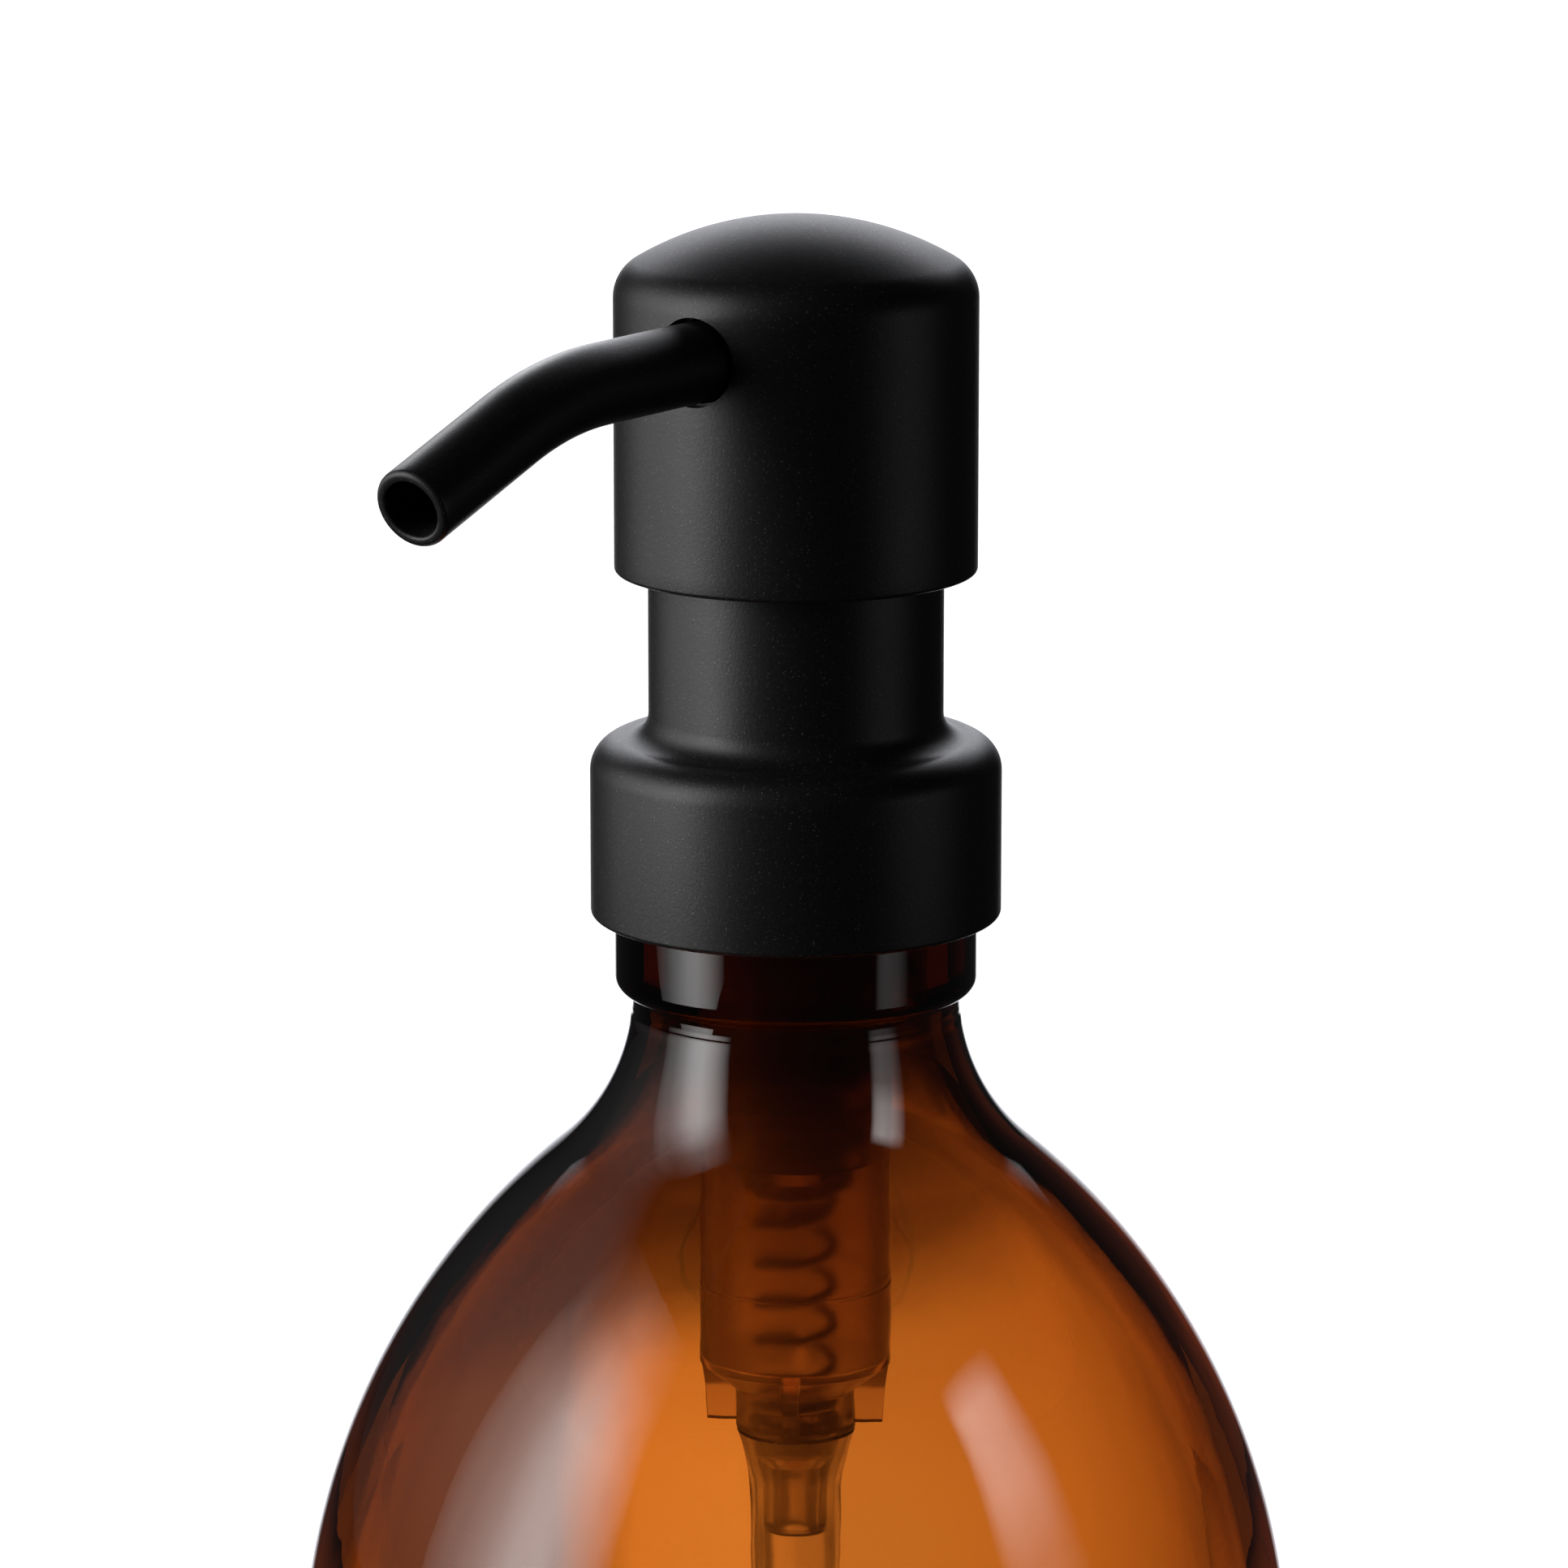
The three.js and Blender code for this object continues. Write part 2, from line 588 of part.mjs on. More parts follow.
function stem() {
  const foot = seatTop + TURN_GAP;
  const top = headBottom + CORE_BOSS_RECESS + CORE_SOCKET_DEPTH - FACE_GAP;
  const flange = HOUSING_BORE - BARREL_GAP - STEM_FLANGE_GAP;
  const tube = turned([
    [STEM_BORE, foot],
    [STEM_RADIUS, foot],
    [STEM_RADIUS, stemFlangeBottom],
    [flange, stemFlangeBottom],
    [flange, stemFlangeTop],
    [STEM_RADIUS, stemFlangeTop],
    [STEM_RADIUS, top],
    [STEM_BORE, top],
  ]);
  const span = 3 * STEM_RADIUS;
  const portTop = foot + STEM_PORT_HEIGHT;
  return cut(
    tube,
    bar(span, STEM_PORT_WIDTH, foot - CUT_REACH, portTop),
    bar(STEM_PORT_WIDTH, span, foot - CUT_REACH, portTop),
  );
}

// The plastic core under the metal head: stem socket, disc, rim and the socket that holds the spout.
function headCore() {
  const bottom = headBottom + CORE_BOSS_RECESS;
  const socketTop = bottom + CORE_SOCKET_DEPTH;
  const rim = headInner - TURN_GAP;
  const discTop = coreDiscBottom + CORE_DISC;
  const body = turned([
    [0, bottom],
    [CORE_BOSS_RADIUS, bottom],
    [CORE_BOSS_RADIUS, coreDiscBottom],
    [rim, coreDiscBottom],
    [rim, discTop + CORE_RIM_HEIGHT],
    [rim - CORE_RIM_WALL, discTop + CORE_RIM_HEIGHT],
    [rim - CORE_RIM_WALL, discTop],
    [0, discTop],
  ]);
  const spoutSocket = SPOUT_RADIUS + SPOUT_SOCKET_WALL;
  const atAxis = new THREE.Vector3(0, 0, spoutZ);
  const behind = new THREE.Vector3(0, spoutSocket, spoutZ);
  const outside = new THREE.Vector3(0, -rim, spoutZ);
  const boss = rod(spoutSocket, behind, new THREE.Vector3(0, -(rim - CORE_RIM_WALL), spoutZ));
  const post = rod(spoutSocket, new THREE.Vector3(0, 0, coreDiscBottom), atAxis);
  const socket = rod(
    STEM_RADIUS + FACE_GAP,
    new THREE.Vector3(0, 0, bottom - CUT_REACH),
    new THREE.Vector3(0, 0, socketTop),
    SIDES,
  );
  const riser = rod(STEM_BORE, new THREE.Vector3(0, 0, socketTop - CUT_REACH), atAxis);
  const channel = rod(STEM_BORE, atAxis, outside);
  const seat = rod(
    SPOUT_RADIUS + BARREL_GAP,
    new THREE.Vector3(0, -(SPOUT_ROOT - TURN_GAP), spoutZ),
    new THREE.Vector3(0, -(rim + CUT_REACH), spoutZ),
  );
  return cut(join(body, boss, post), socket, riser, channel, seat);
}

function headShell() {
  const roundR = headRadius - HEAD_ROUND;
  const domeZ = headTop - domeRadius;
  const reach = domeRadius - HEAD_ROUND;
  const roundZ = domeZ + Math.sqrt(reach ** 2 - roundR ** 2);
  const meet = THREE.MathUtils.radToDeg(Math.atan2(roundZ - domeZ, roundR));
  const outerDome = arc(0, domeZ, domeRadius, meet, 90, 5).slice(1);
  const innerDome = arc(0, domeZ, domeRadius - HEAD_WALL, 90, meet, 5);
  outerDome[4][0] = 0;
  innerDome[0][0] = 0;
  const shell = turned([
    ...innerDome,
    ...arc(roundR, roundZ, HEAD_ROUND - HEAD_WALL, meet, 0, 4).slice(1),
    [headInner, headBottom],
    [headRadius - FACE_GAP, headBottom],
    [headRadius, headBottom + FACE_GAP],
    ...arc(roundR, roundZ, HEAD_ROUND, 0, meet, 4),
    ...outerDome,
  ]);
  const hole = rod(
    SPOUT_RADIUS + SPOUT_HOLE_GAP,
    new THREE.Vector3(0, -headInner / 2, spoutZ),
    new THREE.Vector3(0, -2 * headRadius, spoutZ),
  );
  return cut(shell, hole);
}

function spout() {
  return tubeAlong(new SpoutLine(), SPOUT_RADIUS, SPOUT_BORE, 14, 16);
}

const amberGlass = { color: 0x8a4a16, roughness: 0.05, metalness: 0 };
const blackMetal = { color: 0x1b1c1f, roughness: 0.6, metalness: 0.3 };
const blackPlastic = { color: 0x1a1a1c, roughness: 0.55, metalness: 0 };
const clearPlastic = { color: 0xd9d6cc, roughness: 0.4, metalness: 0 };
const steel = { color: 0xb9bcc0, roughness: 0.3, metalness: 1 };

function piece(name, geometry, finish) {
  const mesh = new THREE.Mesh(geometry, new THREE.MeshStandardMaterial(finish));
  mesh.name = name;
  return mesh;
}

// Everything that swings with the spout is built towards -Y and turned in one group.
const head = new THREE.Group();
head.rotation.z = -radians(SPOUT_ANGLE);
head.add(
  piece("stem", stem(), clearPlastic),
  piece("head_core", headCore(), blackPlastic),
  piece("head_shell", headShell(), blackMetal),
  piece("spout", spout(), blackMetal),
);

const dispenser = new THREE.Group();
dispenser.add(
  piece("bottle", bottle(), amberGlass),
  piece("collar_shroud", collarShroud(), blackMetal),
  piece("screw_closure", screwClosure(), blackPlastic),
  piece("gasket", gasket(), clearPlastic),
  piece("pump_housing", pumpHousing(), clearPlastic),
  piece("stem_guide", stemGuide(), blackPlastic),
  piece("dip_tube", dipTube(), clearPlastic),
  piece("inlet_ball", inletBall(), steel),
  piece("ball_cage", ballCage(), clearPlastic),
  piece("return_spring", returnSpring(), steel),
  piece("valve_seat", valveSeat(), clearPlastic),
  piece("piston", piston(), clearPlastic),
  head,
);

export default dispenser;
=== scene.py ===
# %% [markdown]
# # A pump bottle for liquid soap
# The bottle is amber glass and the pump is clad in thin black powder-coated metal. Under the metal is an
# ordinary moulded pump: a housing, a spring, a piston, a hollow stem and a dip tube.
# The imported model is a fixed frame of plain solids, one for each real piece, which already fit and move.
# Nearly every piece is made again here as a fine surface in the same place, and takes over the motion of its
# plain solid. Sizes are worked out in millimetres, as on a drawing, and become metres when a mesh is made.

# %% The frame
import bpy
import json
import math
import numpy as np
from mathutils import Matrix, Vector


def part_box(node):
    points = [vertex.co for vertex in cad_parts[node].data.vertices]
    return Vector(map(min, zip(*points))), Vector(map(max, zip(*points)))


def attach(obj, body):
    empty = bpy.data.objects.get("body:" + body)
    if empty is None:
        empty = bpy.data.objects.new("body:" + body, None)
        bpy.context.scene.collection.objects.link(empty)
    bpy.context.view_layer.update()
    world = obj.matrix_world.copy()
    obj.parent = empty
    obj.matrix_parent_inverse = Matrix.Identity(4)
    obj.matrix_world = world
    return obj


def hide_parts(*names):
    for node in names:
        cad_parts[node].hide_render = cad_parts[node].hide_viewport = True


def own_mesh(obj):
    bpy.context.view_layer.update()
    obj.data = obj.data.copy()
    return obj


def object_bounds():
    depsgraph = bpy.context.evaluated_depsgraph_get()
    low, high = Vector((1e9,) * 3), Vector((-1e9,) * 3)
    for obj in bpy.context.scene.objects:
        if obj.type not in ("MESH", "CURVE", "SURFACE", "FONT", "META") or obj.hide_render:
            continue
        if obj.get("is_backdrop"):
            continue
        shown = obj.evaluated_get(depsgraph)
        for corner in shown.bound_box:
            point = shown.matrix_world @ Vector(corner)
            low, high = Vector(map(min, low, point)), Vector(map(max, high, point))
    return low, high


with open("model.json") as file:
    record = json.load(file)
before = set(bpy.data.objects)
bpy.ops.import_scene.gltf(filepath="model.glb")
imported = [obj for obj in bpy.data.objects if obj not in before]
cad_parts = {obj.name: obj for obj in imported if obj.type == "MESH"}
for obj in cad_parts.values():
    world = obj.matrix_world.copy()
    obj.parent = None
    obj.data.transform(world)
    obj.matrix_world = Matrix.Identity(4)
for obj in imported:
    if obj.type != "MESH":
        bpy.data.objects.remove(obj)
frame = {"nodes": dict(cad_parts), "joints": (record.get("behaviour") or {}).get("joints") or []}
frame_box = [list(corner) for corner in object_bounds()]
print("nodes:", ", ".join(sorted(frame["nodes"])))
print("frame height in mm:", round(1000 * (frame_box[1][2] - frame_box[0][2]), 2))

# %% [markdown]
# ## Outlines
# Nearly every piece is round, so it starts as an outline: a path of (radius, height) points that runs
# counterclockwise round the material. Moulded and drawn parts have no knife edges, so a corner can carry a
# third number, the radius of its fillet. Typing the arc points by hand would hide the drawing, so a helper
# finds them from the corner's two sides.

# %% Arcs and filleted outlines
MM = 0.001


def arc(centre, radius, start, end, steps):
    """Points at centre + radius * (cos angle, sin angle), as the angle goes from start to end in degrees."""
    angle = np.radians(np.linspace(start, end, steps + 1))
    return np.array(centre) + radius * np.stack([np.cos(angle), np.sin(angle)], 1)


def fillet(before, corner, after, radius, steps):
    """The arc that touches both sides of a corner.
    It leaves each side at radius * tan(turn / 2) from the corner, where turn is the change of direction."""
    u, v = before - corner, after - corner
    u, v = u / np.linalg.norm(u), v / np.linalg.norm(v)
    turn = math.pi - math.acos(np.clip(u @ v, -1, 1))
    if turn < 1e-4:
        return corner[None]
    setback = radius * math.tan(turn / 2)
    middle = corner + (u + v) / np.linalg.norm(u + v) * radius / math.cos(turn / 2)
    first, last = corner + u * setback - middle, corner + v * setback - middle
    share = np.linspace(0, 1, steps + 1)[:, None]
    return middle + (np.sin((1 - share) * turn) * first + np.sin(share * turn) * last) / math.sin(turn)


def drawn(corners, steps=6, ends=False):
    """An outline from corners (radius, height, fillet radius).
    With ends, the first and last corners are left as they are and not joined."""
    flat = [np.array(c[:2], float) for c in corners]
    rows = []
    for i, corner in enumerate(corners):
        open_end = ends and i in (0, len(corners) - 1)
        if len(corner) < 3 or open_end:
            rows.append(flat[i][None])
        else:
            rows.append(fillet(flat[i - 1], flat[i], flat[(i + 1) % len(flat)], corner[2], steps))
    return np.concatenate(rows)


def finer(outline, longest):
    """Divides every straight stretch that is longer than the given length into equal parts."""
    parts = []
    for a, b in zip(outline[:-1], outline[1:]):
        count = max(1, math.ceil(np.linalg.norm(b - a) / longest))
        parts.append(a + (b - a) * np.arange(count)[:, None] / count)
    return np.concatenate([*parts, outline[-1:]])


print("a fillet of radius 1 turns a square corner in", len(fillet(*np.eye(3, 2), 1, 6)), "points")

# %% [markdown]
# ## Surfaces
# A turned piece is its outline carried round the Z axis. A bent tube or a coil is an outline too, carried
# along a curve: its heights become distances along the curve. So one function makes both. It lays the points
# on a grid, with one row for each outline point and one column for each angle, and joins them into
# faces whose order makes them point outwards. A row on the axis becomes one point, so poles are closed.

# %% The grid that every piece is made on
def ring_faces(rows, columns, closed):
    """Quads (row, column), (row, column + 1), (row + 1, column + 1), (row + 1, column).
    They wrap round in columns and, for a closed outline, in rows too."""
    row, column = np.meshgrid(np.arange(rows if closed else rows - 1), np.arange(columns), indexing="ij")
    next_row, next_column = (row + 1) % rows, (column + 1) % columns
    corners = [(row, column), (row, next_column), (next_row, next_column), (next_row, column)]
    return np.stack([(r * columns + c).ravel() for r, c in corners], 1)


def mesh_piece(name, points, faces, sharp=40):
    """A named object from points in millimetres and faces as lists of point numbers."""
    mesh = bpy.data.meshes.new(name)
    mesh.from_pydata((np.asarray(points) * MM).tolist(), [], faces)
    mesh.shade_smooth()
    mesh.set_sharp_from_angle(angle=math.radians(sharp))
    piece = bpy.data.objects.new(name, mesh)
    bpy.context.scene.collection.objects.link(piece)
    return piece


def upright(heights):
    """The straight path up the Z axis: where each row is, and the two directions its circle lies in."""
    zero, one = np.zeros_like(heights), np.ones_like(heights)
    return np.stack([zero, zero, heights], 1), np.stack([one, zero, zero], 1), np.stack([zero, one, zero], 1)


def wrapped(name, outline, sides=96, path=upright, reshape=None, angles=None, sharp=40):
    """The surface place(s) + r * (cos a * first + sin a * second), for each outline point (r, s) and angle a.
    reshape can change r and s where a thread, a fin or a flute stands out of the turned shape."""
    if angles is None:
        angles = np.arange(sides) * 2 * np.pi / sides
    r, s = (np.repeat(outline[:, k][:, None], len(angles), 1) for k in (0, 1))
    a = np.repeat(angles[None], len(outline), 0)
    if reshape is not None:
        r, s = reshape(r, s, a)
    centre, first, second = (v.reshape(*r.shape, 3) for v in path(s.ravel()))
    points = centre + (r * np.cos(a))[..., None] * first + (r * np.sin(a))[..., None] * second
    rows, columns = r.shape
    poles = [abs(outline[k, 0]) < 1e-9 for k in (0, -1)]
    faces = ring_faces(rows, columns, closed=not any(poles))
    points = points.reshape(-1, 3)
    # A pole keeps one point of its row. Its quads then have two corners alike and become triangles.
    number = np.arange(len(points)).reshape(rows, columns)
    for pole, row in zip(poles, (0, -1)):
        if pole:
            number[row] = number[row, 0]
    kept, packed = np.unique(number, return_inverse=True)
    faces = packed.reshape(-1)[faces]
    thin_low, thin_high = faces[:, 0] == faces[:, 1], faces[:, 2] == faces[:, 3]
    quads = faces[~thin_low & ~thin_high].tolist()
    fans = faces[thin_low][:, [0, 2, 3]].tolist() + faces[thin_high][:, [0, 1, 2]].tolist()
    return mesh_piece(name, points[kept], quads + fans, sharp)


def smooth(x):
    """A soft step from 0 to 1 as x goes from 0 to 1: 3x^2 - 2x^3."""
    x = np.clip(x, 0, 1)
    return x * x * (3 - 2 * x)


def span(node):
    """The lowest and highest height of a frame node, in millimetres."""
    low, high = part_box(node)
    return low.z / MM, high.z / MM


def reach(node):
    """The outer radius, lowest and highest height of a round frame node, in millimetres."""
    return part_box(node)[1].x / MM, *span(node)


print("bottle radius, bottom, top:", [round(v, 2) for v in reach("bottle")])

# %% [markdown]
# ## Screw threads
# The neck has a raised glass thread of a little more than one turn, and the closure has the matching rib
# inside. A separate coil pushed into the wall would leave hidden faces in clear glass, so the
# thread is a bulge of the turned wall itself: the radius grows where a point is near the helix.

# %% How far a thread stands out
def thread_bulge(z, a, start, pitch, turns, height, half_width):
    """A rib beside the helix start + pitch * turn: height on it, softly down to nothing half_width above and
    below. It fades in and out over a tenth of a turn at its two ends."""
    bulge = np.zeros_like(z)
    for lap in range(-1, math.ceil(turns) + 1):
        turn = a / (2 * np.pi) + lap
        share = 1 - ((z - start - pitch * turn) / half_width) ** 2
        ends = smooth(turn / 0.1) * smooth((turns - turn) / 0.1)
        bulge = np.maximum(bulge, height * ends * smooth(share))
    return bulge


PITCH = 4.23
THREAD_TURNS = 1.25
print("thread rise over its length in mm:", PITCH * THREAD_TURNS)

# %% [markdown]
# ## The bottle
# A blown bottle is one wall of glass about 2.5 mm thick, with a raised middle under the floor, a ring that it
# stands on, a long round shoulder, a short neck and a heavy bead below the thread. Light bends at both faces
# of the wall, so the inside matters as much as the outside, and the piece is the whole wall. Blown glass
# touches the mould only on its outside, so the inside is left slightly uneven.

# %% The side from body to neck
BODY, _, RIM = reach("bottle")
GLASS = 2.5
NECK = 12.8
BORE = NECK - GLASS
BEAD_BOTTOM, BEAD_TOP = RIM - 16.3, RIM - 9
LEAN, HOLLOW = 50, 16.4


def bottle_side(offset, steps):
    """A convex arc from the upright body meets a concave one into the neck, where both lean at LEAN degrees.
    offset shifts the line into the glass. The points run upwards."""
    across, up = 1 - math.cos(math.radians(LEAN)), math.sin(math.radians(LEAN))
    meet_r, meet_z = NECK + HOLLOW * across, BEAD_BOTTOM - HOLLOW * up
    convex = (BODY - meet_r) / across
    shoulder = arc((BODY - convex, meet_z - convex * up), convex - offset, 0, LEAN, steps)
    hollow = arc((NECK + HOLLOW, BEAD_BOTTOM), HOLLOW + offset, 180 + LEAN, 180, steps // 2)
    return np.concatenate([shoulder, hollow[1:]])


print("the shoulder starts at height", round(bottle_side(0, 4)[0][1], 1))

# %% The whole wall
BEAD, FINISH_RADIUS = 14.15, 12.5
HEEL, INNER_HEEL = 5, 6
PUNT_EDGE, RISE = 31.4, 4
FLOOR_EDGE, FLOOR_GLASS = BODY - GLASS - INNER_HEEL, 4.5
LONGEST = 2.4


def dome(edge, height):
    """A shallow dome over the axis: it is RISE higher there than at the given height and radius, its edge."""
    radius = (edge**2 + RISE**2) / (2 * RISE)
    line = arc((0, height + RISE - radius), radius, 90, 90 - math.degrees(math.asin(edge / radius)), 10)
    line[0, 0] = 0
    return line


seam = BEAD_BOTTOM - 1.4
neck_seam = [(NECK, seam - 0.25), (NECK + 0.03, seam - 0.05), (NECK + 0.03, seam + 0.05), (NECK, seam + 0.25)]
neck_finish = drawn([
    (NECK, seam + 0.4), (NECK, BEAD_BOTTOM, 0.35), (BEAD, BEAD_BOTTOM, 1.2), (BEAD, BEAD_TOP, 0.5),
    (FINISH_RADIUS, BEAD_TOP, 0.4), (FINISH_RADIUS, RIM, 0.6), (BORE, RIM, 0.6), (BORE, BEAD_BOTTOM + 0.5)],
    ends=True)
side = bottle_side(0, 44)
outside = np.concatenate([
    dome(PUNT_EDGE, 0), arc((BODY - HEEL, HEEL), HEEL, -90, 0, 10), side[side[:, 1] < seam - 0.4], neck_seam])
inside = finer(np.concatenate([
    bottle_side(GLASS, 44)[::-1], arc((FLOOR_EDGE, FLOOR_GLASS + INNER_HEEL), INNER_HEEL, 0, -90, 10),
    dome(FLOOR_EDGE, FLOOR_GLASS)[-2::-1]]), LONGEST)
wall = np.concatenate([finer(outside, LONGEST), finer(neck_finish, 0.22), inside])
is_inside = np.arange(len(wall)) >= len(wall) - len(inside)
THREAD_START = RIM - 1.95 - PITCH * THREAD_TURNS


def glass_wall(r, z, a):
    """The thread on the neck, and a slow unevenness of the inner face.
    The unevenness dies out towards the axis and the rim."""
    on_thread = (abs(r - FINISH_RADIUS) < 0.1) & (z > BEAD_TOP)
    r = r + on_thread * thread_bulge(z, a, THREAD_START, PITCH, THREAD_TURNS, height=1.2, half_width=1.3)
    wave = np.sin(3 * a + z / 9) + 0.6 * np.sin(5 * a - z / 5.3 + 1) + 0.45 * np.sin(11 * a + z / 3.1 + 2)
    fade = smooth((BEAD_BOTTOM + 4 - z) / 12) * smooth(r / 30 - 0.1)
    return r + is_inside[:, None] * 0.014 * wave * (0.35 + 0.65 * fade) * (r > 9), z


bottle = wrapped("amber_bottle", wall, 176, reshape=glass_wall, sharp=60)
print("bottle faces:", len(bottle.data.polygons))

# %% [markdown]
# ## Collar and sleeve
# The collar that the hand turns and the sleeve above it are drawn from a single sheet, so the wall is even,
# 0.6 mm, and every bend is round. The sheet's outline is the outer line, then the inner line back.

# %% The drawn shell over the closure
COLLAR, COLLAR_BOTTOM, SLEEVE_TOP = reach("collar_shroud")
SHEET = 0.6
LEDGE = 175.8
SLEEVE = 11.45
collar_line = drawn([
    (COLLAR - SHEET, COLLAR_BOTTOM, 0.18), (COLLAR, COLLAR_BOTTOM, 0.4), (COLLAR, LEDGE, 2.5),
    (SLEEVE, LEDGE, 2), (SLEEVE, SLEEVE_TOP, 0.25), (SLEEVE - SHEET, SLEEVE_TOP, 0.25),
    (SLEEVE - SHEET, LEDGE - SHEET, 2.6), (COLLAR - SHEET, LEDGE - SHEET, 1.9)], steps=12)
collar = wrapped("collar_shell", collar_line, 160)
print("collar faces:", len(collar.data.polygons))

# %% [markdown]
# ## The screw closure
# Under the shell is a moulded cap with the thread. Unscrewed, its rib can be seen from below.

# %% The threaded cap
CAP_BOTTOM, CAP_TOP = span("screw_closure")
CAP, CAP_INNER, CAP_HOLE = 15.1, 14.1, 10.8
cap_line = finer(drawn([
    (CAP_INNER, CAP_BOTTOM, 0.2), (CAP, CAP_BOTTOM, 0.2), (CAP, CAP_TOP, 1.6), (CAP_HOLE, CAP_TOP, 0.2),
    (CAP_HOLE, CAP_TOP - 0.7, 0.2), (CAP_INNER, CAP_TOP - 0.7, 0.3), (CAP_INNER, CAP_BOTTOM + 0.3)]), 0.3)


def cap_thread(r, z, a):
    """The rib grows inwards from the bore, about half a pitch below the glass thread."""
    in_bore = (abs(r - CAP_INNER) < 0.05) & (z < CAP_TOP - 1.2)
    start = THREAD_START - PITCH / 2 + 0.3
    bulge = thread_bulge(z, a + np.pi, start, PITCH, turns=1.5, height=0.95, half_width=1.0)
    return r - in_bore * bulge, z


cap = wrapped("threaded_cap", cap_line, 128, reshape=cap_thread)
print("cap faces:", len(cap.data.polygons))

# %% [markdown]
# ## The pump housing
# The housing is a milky barrel that hangs in the neck by its flange. Below the barrel it steps in to a well
# for the spring, with four fins round it, and ends in a tail that the dip tube is pushed on. The fins are
# part of the moulding, so they are part of the turned surface: the radius jumps out at their angles.

# %% Barrel, well, fins and tail
TAIL, FLANGE_TOP = span("pump_housing")
BARREL, BARREL_BORE, FLANGE = 7.5, 6.3, 12.6
WELL, WELL_BORE, WELL_BOTTOM, WELL_FLOOR = 4.68, 3.9, 119.98, 120.05
SPIGOT, INLET, CHAMBER = 2.55, 1.2, 2.1
GROOVE, DEEP = 131.75, 0.12
FIN_BOTTOM, FIN_TOP = 120.5, 125.3
housing_line = drawn([
    (INLET, TAIL, 0.15), (2.4, TAIL, 0.15), (SPIGOT, TAIL + 0.6, 0.2), (SPIGOT, 115.8, 0.6),
    (3.55, WELL_BOTTOM, 0.1), (WELL, WELL_BOTTOM, 0.15), (WELL, FIN_BOTTOM - 0.03), (WELL, FIN_BOTTOM),
    (WELL, 121.4), (WELL, 122.4), (WELL, 123.2, 0.3), (BARREL - DEEP, FIN_TOP), (BARREL, 125.4, 0.1),
    (BARREL, GROOVE), (BARREL - DEEP, GROOVE + 0.1), (BARREL - DEEP, GROOVE + 0.25), (BARREL, GROOVE + 0.35),
    (BARREL, FLANGE_TOP - 0.9, 0.4), (FLANGE, FLANGE_TOP - 0.9, 0.2), (FLANGE, FLANGE_TOP, 0.2),
    (BARREL_BORE, FLANGE_TOP, 0.2), (BARREL_BORE, 125.8, 0.5), (WELL_BORE, 123.4, 0.5),
    (WELL_BORE, WELL_FLOOR, 0.2), (CHAMBER, WELL_FLOOR, 0.2), (CHAMBER, 118.1, 0.2), (INLET, 117.2, 0.2)])
FIRST_FIN = math.radians(-105.5)
fin_angles = FIRST_FIN + np.arange(4) * np.pi / 2
crest, root = math.radians(4.9), math.radians(7.4)
near_fin = np.array([-root, -crest, -crest * 0.5, 0, crest * 0.5, crest, root])
housing_angles = np.concatenate([
    fin + np.concatenate([near_fin, np.linspace(root, np.pi / 2 - root, 18)[1:-1]]) for fin in fin_angles])


def fins(r, z, a):
    """r rises from the wall to the fin's edge between the angles root and crest: the fin's flat side."""
    away = abs((a - FIRST_FIN + np.pi / 4) % (np.pi / 2) - np.pi / 4)
    on_fin = np.clip((root - away) / (root - crest), 0, 1)
    edge = 6.9 + 0.3 * (z - FIN_BOTTOM) / (FIN_TOP - FIN_BOTTOM)
    outer = (r > WELL - 0.08) & (r < BARREL - 0.05) & (z > FIN_BOTTOM - 0.01) & (z < FIN_TOP - 0.01)
    return np.where(outer, np.maximum(r, r + (edge - r) * on_fin), r), z


housing = wrapped("pump_barrel", housing_line, reshape=fins, angles=housing_angles, sharp=35)
print("housing faces:", len(housing.data.polygons))

# %% [markdown]
# ## Moving parts inside the pump
# The stem is a tube with two slots across its foot, pushed over a plug that carries the valve's bevelled
# disc. The piston slides a little on the stem, which opens and closes the way in.

# %% Stem, piston, valve plug and ball
STEM_FOOT, STEM_TOP = span("stem")
STEM, STEM_BORE, STOP = 3, 2, 5.6
STOP_BOTTOM, STOP_TOP = 148.4, 149.4
FOOT = 2.6
stem_line = drawn([
    (STEM_BORE, STEM_FOOT, 0.1), (STEM, STEM_FOOT, 0.1), (STEM, STEM_FOOT + FOOT),
    (STEM, STOP_BOTTOM, 0.15), (STOP, STOP_BOTTOM, 0.15), (STOP, STOP_TOP, 0.15), (STEM, STOP_TOP, 0.15),
    (STEM, STEM_TOP, 0.2), (STEM_BORE, STEM_TOP, 0.1), (STEM_BORE, STEM_FOOT + FOOT)])


def foot_slots(r, z, a):
    """The rows of the foot move up where the angle lies in one of the four slots."""
    away = abs((a + np.pi / 4) % (np.pi / 2) - np.pi / 4)
    in_slot = np.clip((away - math.radians(31)) / math.radians(2), 0, 1)
    return r, z + 1.8 * in_slot * np.clip((STEM_FOOT + FOOT - z) / FOOT, 0, 1)


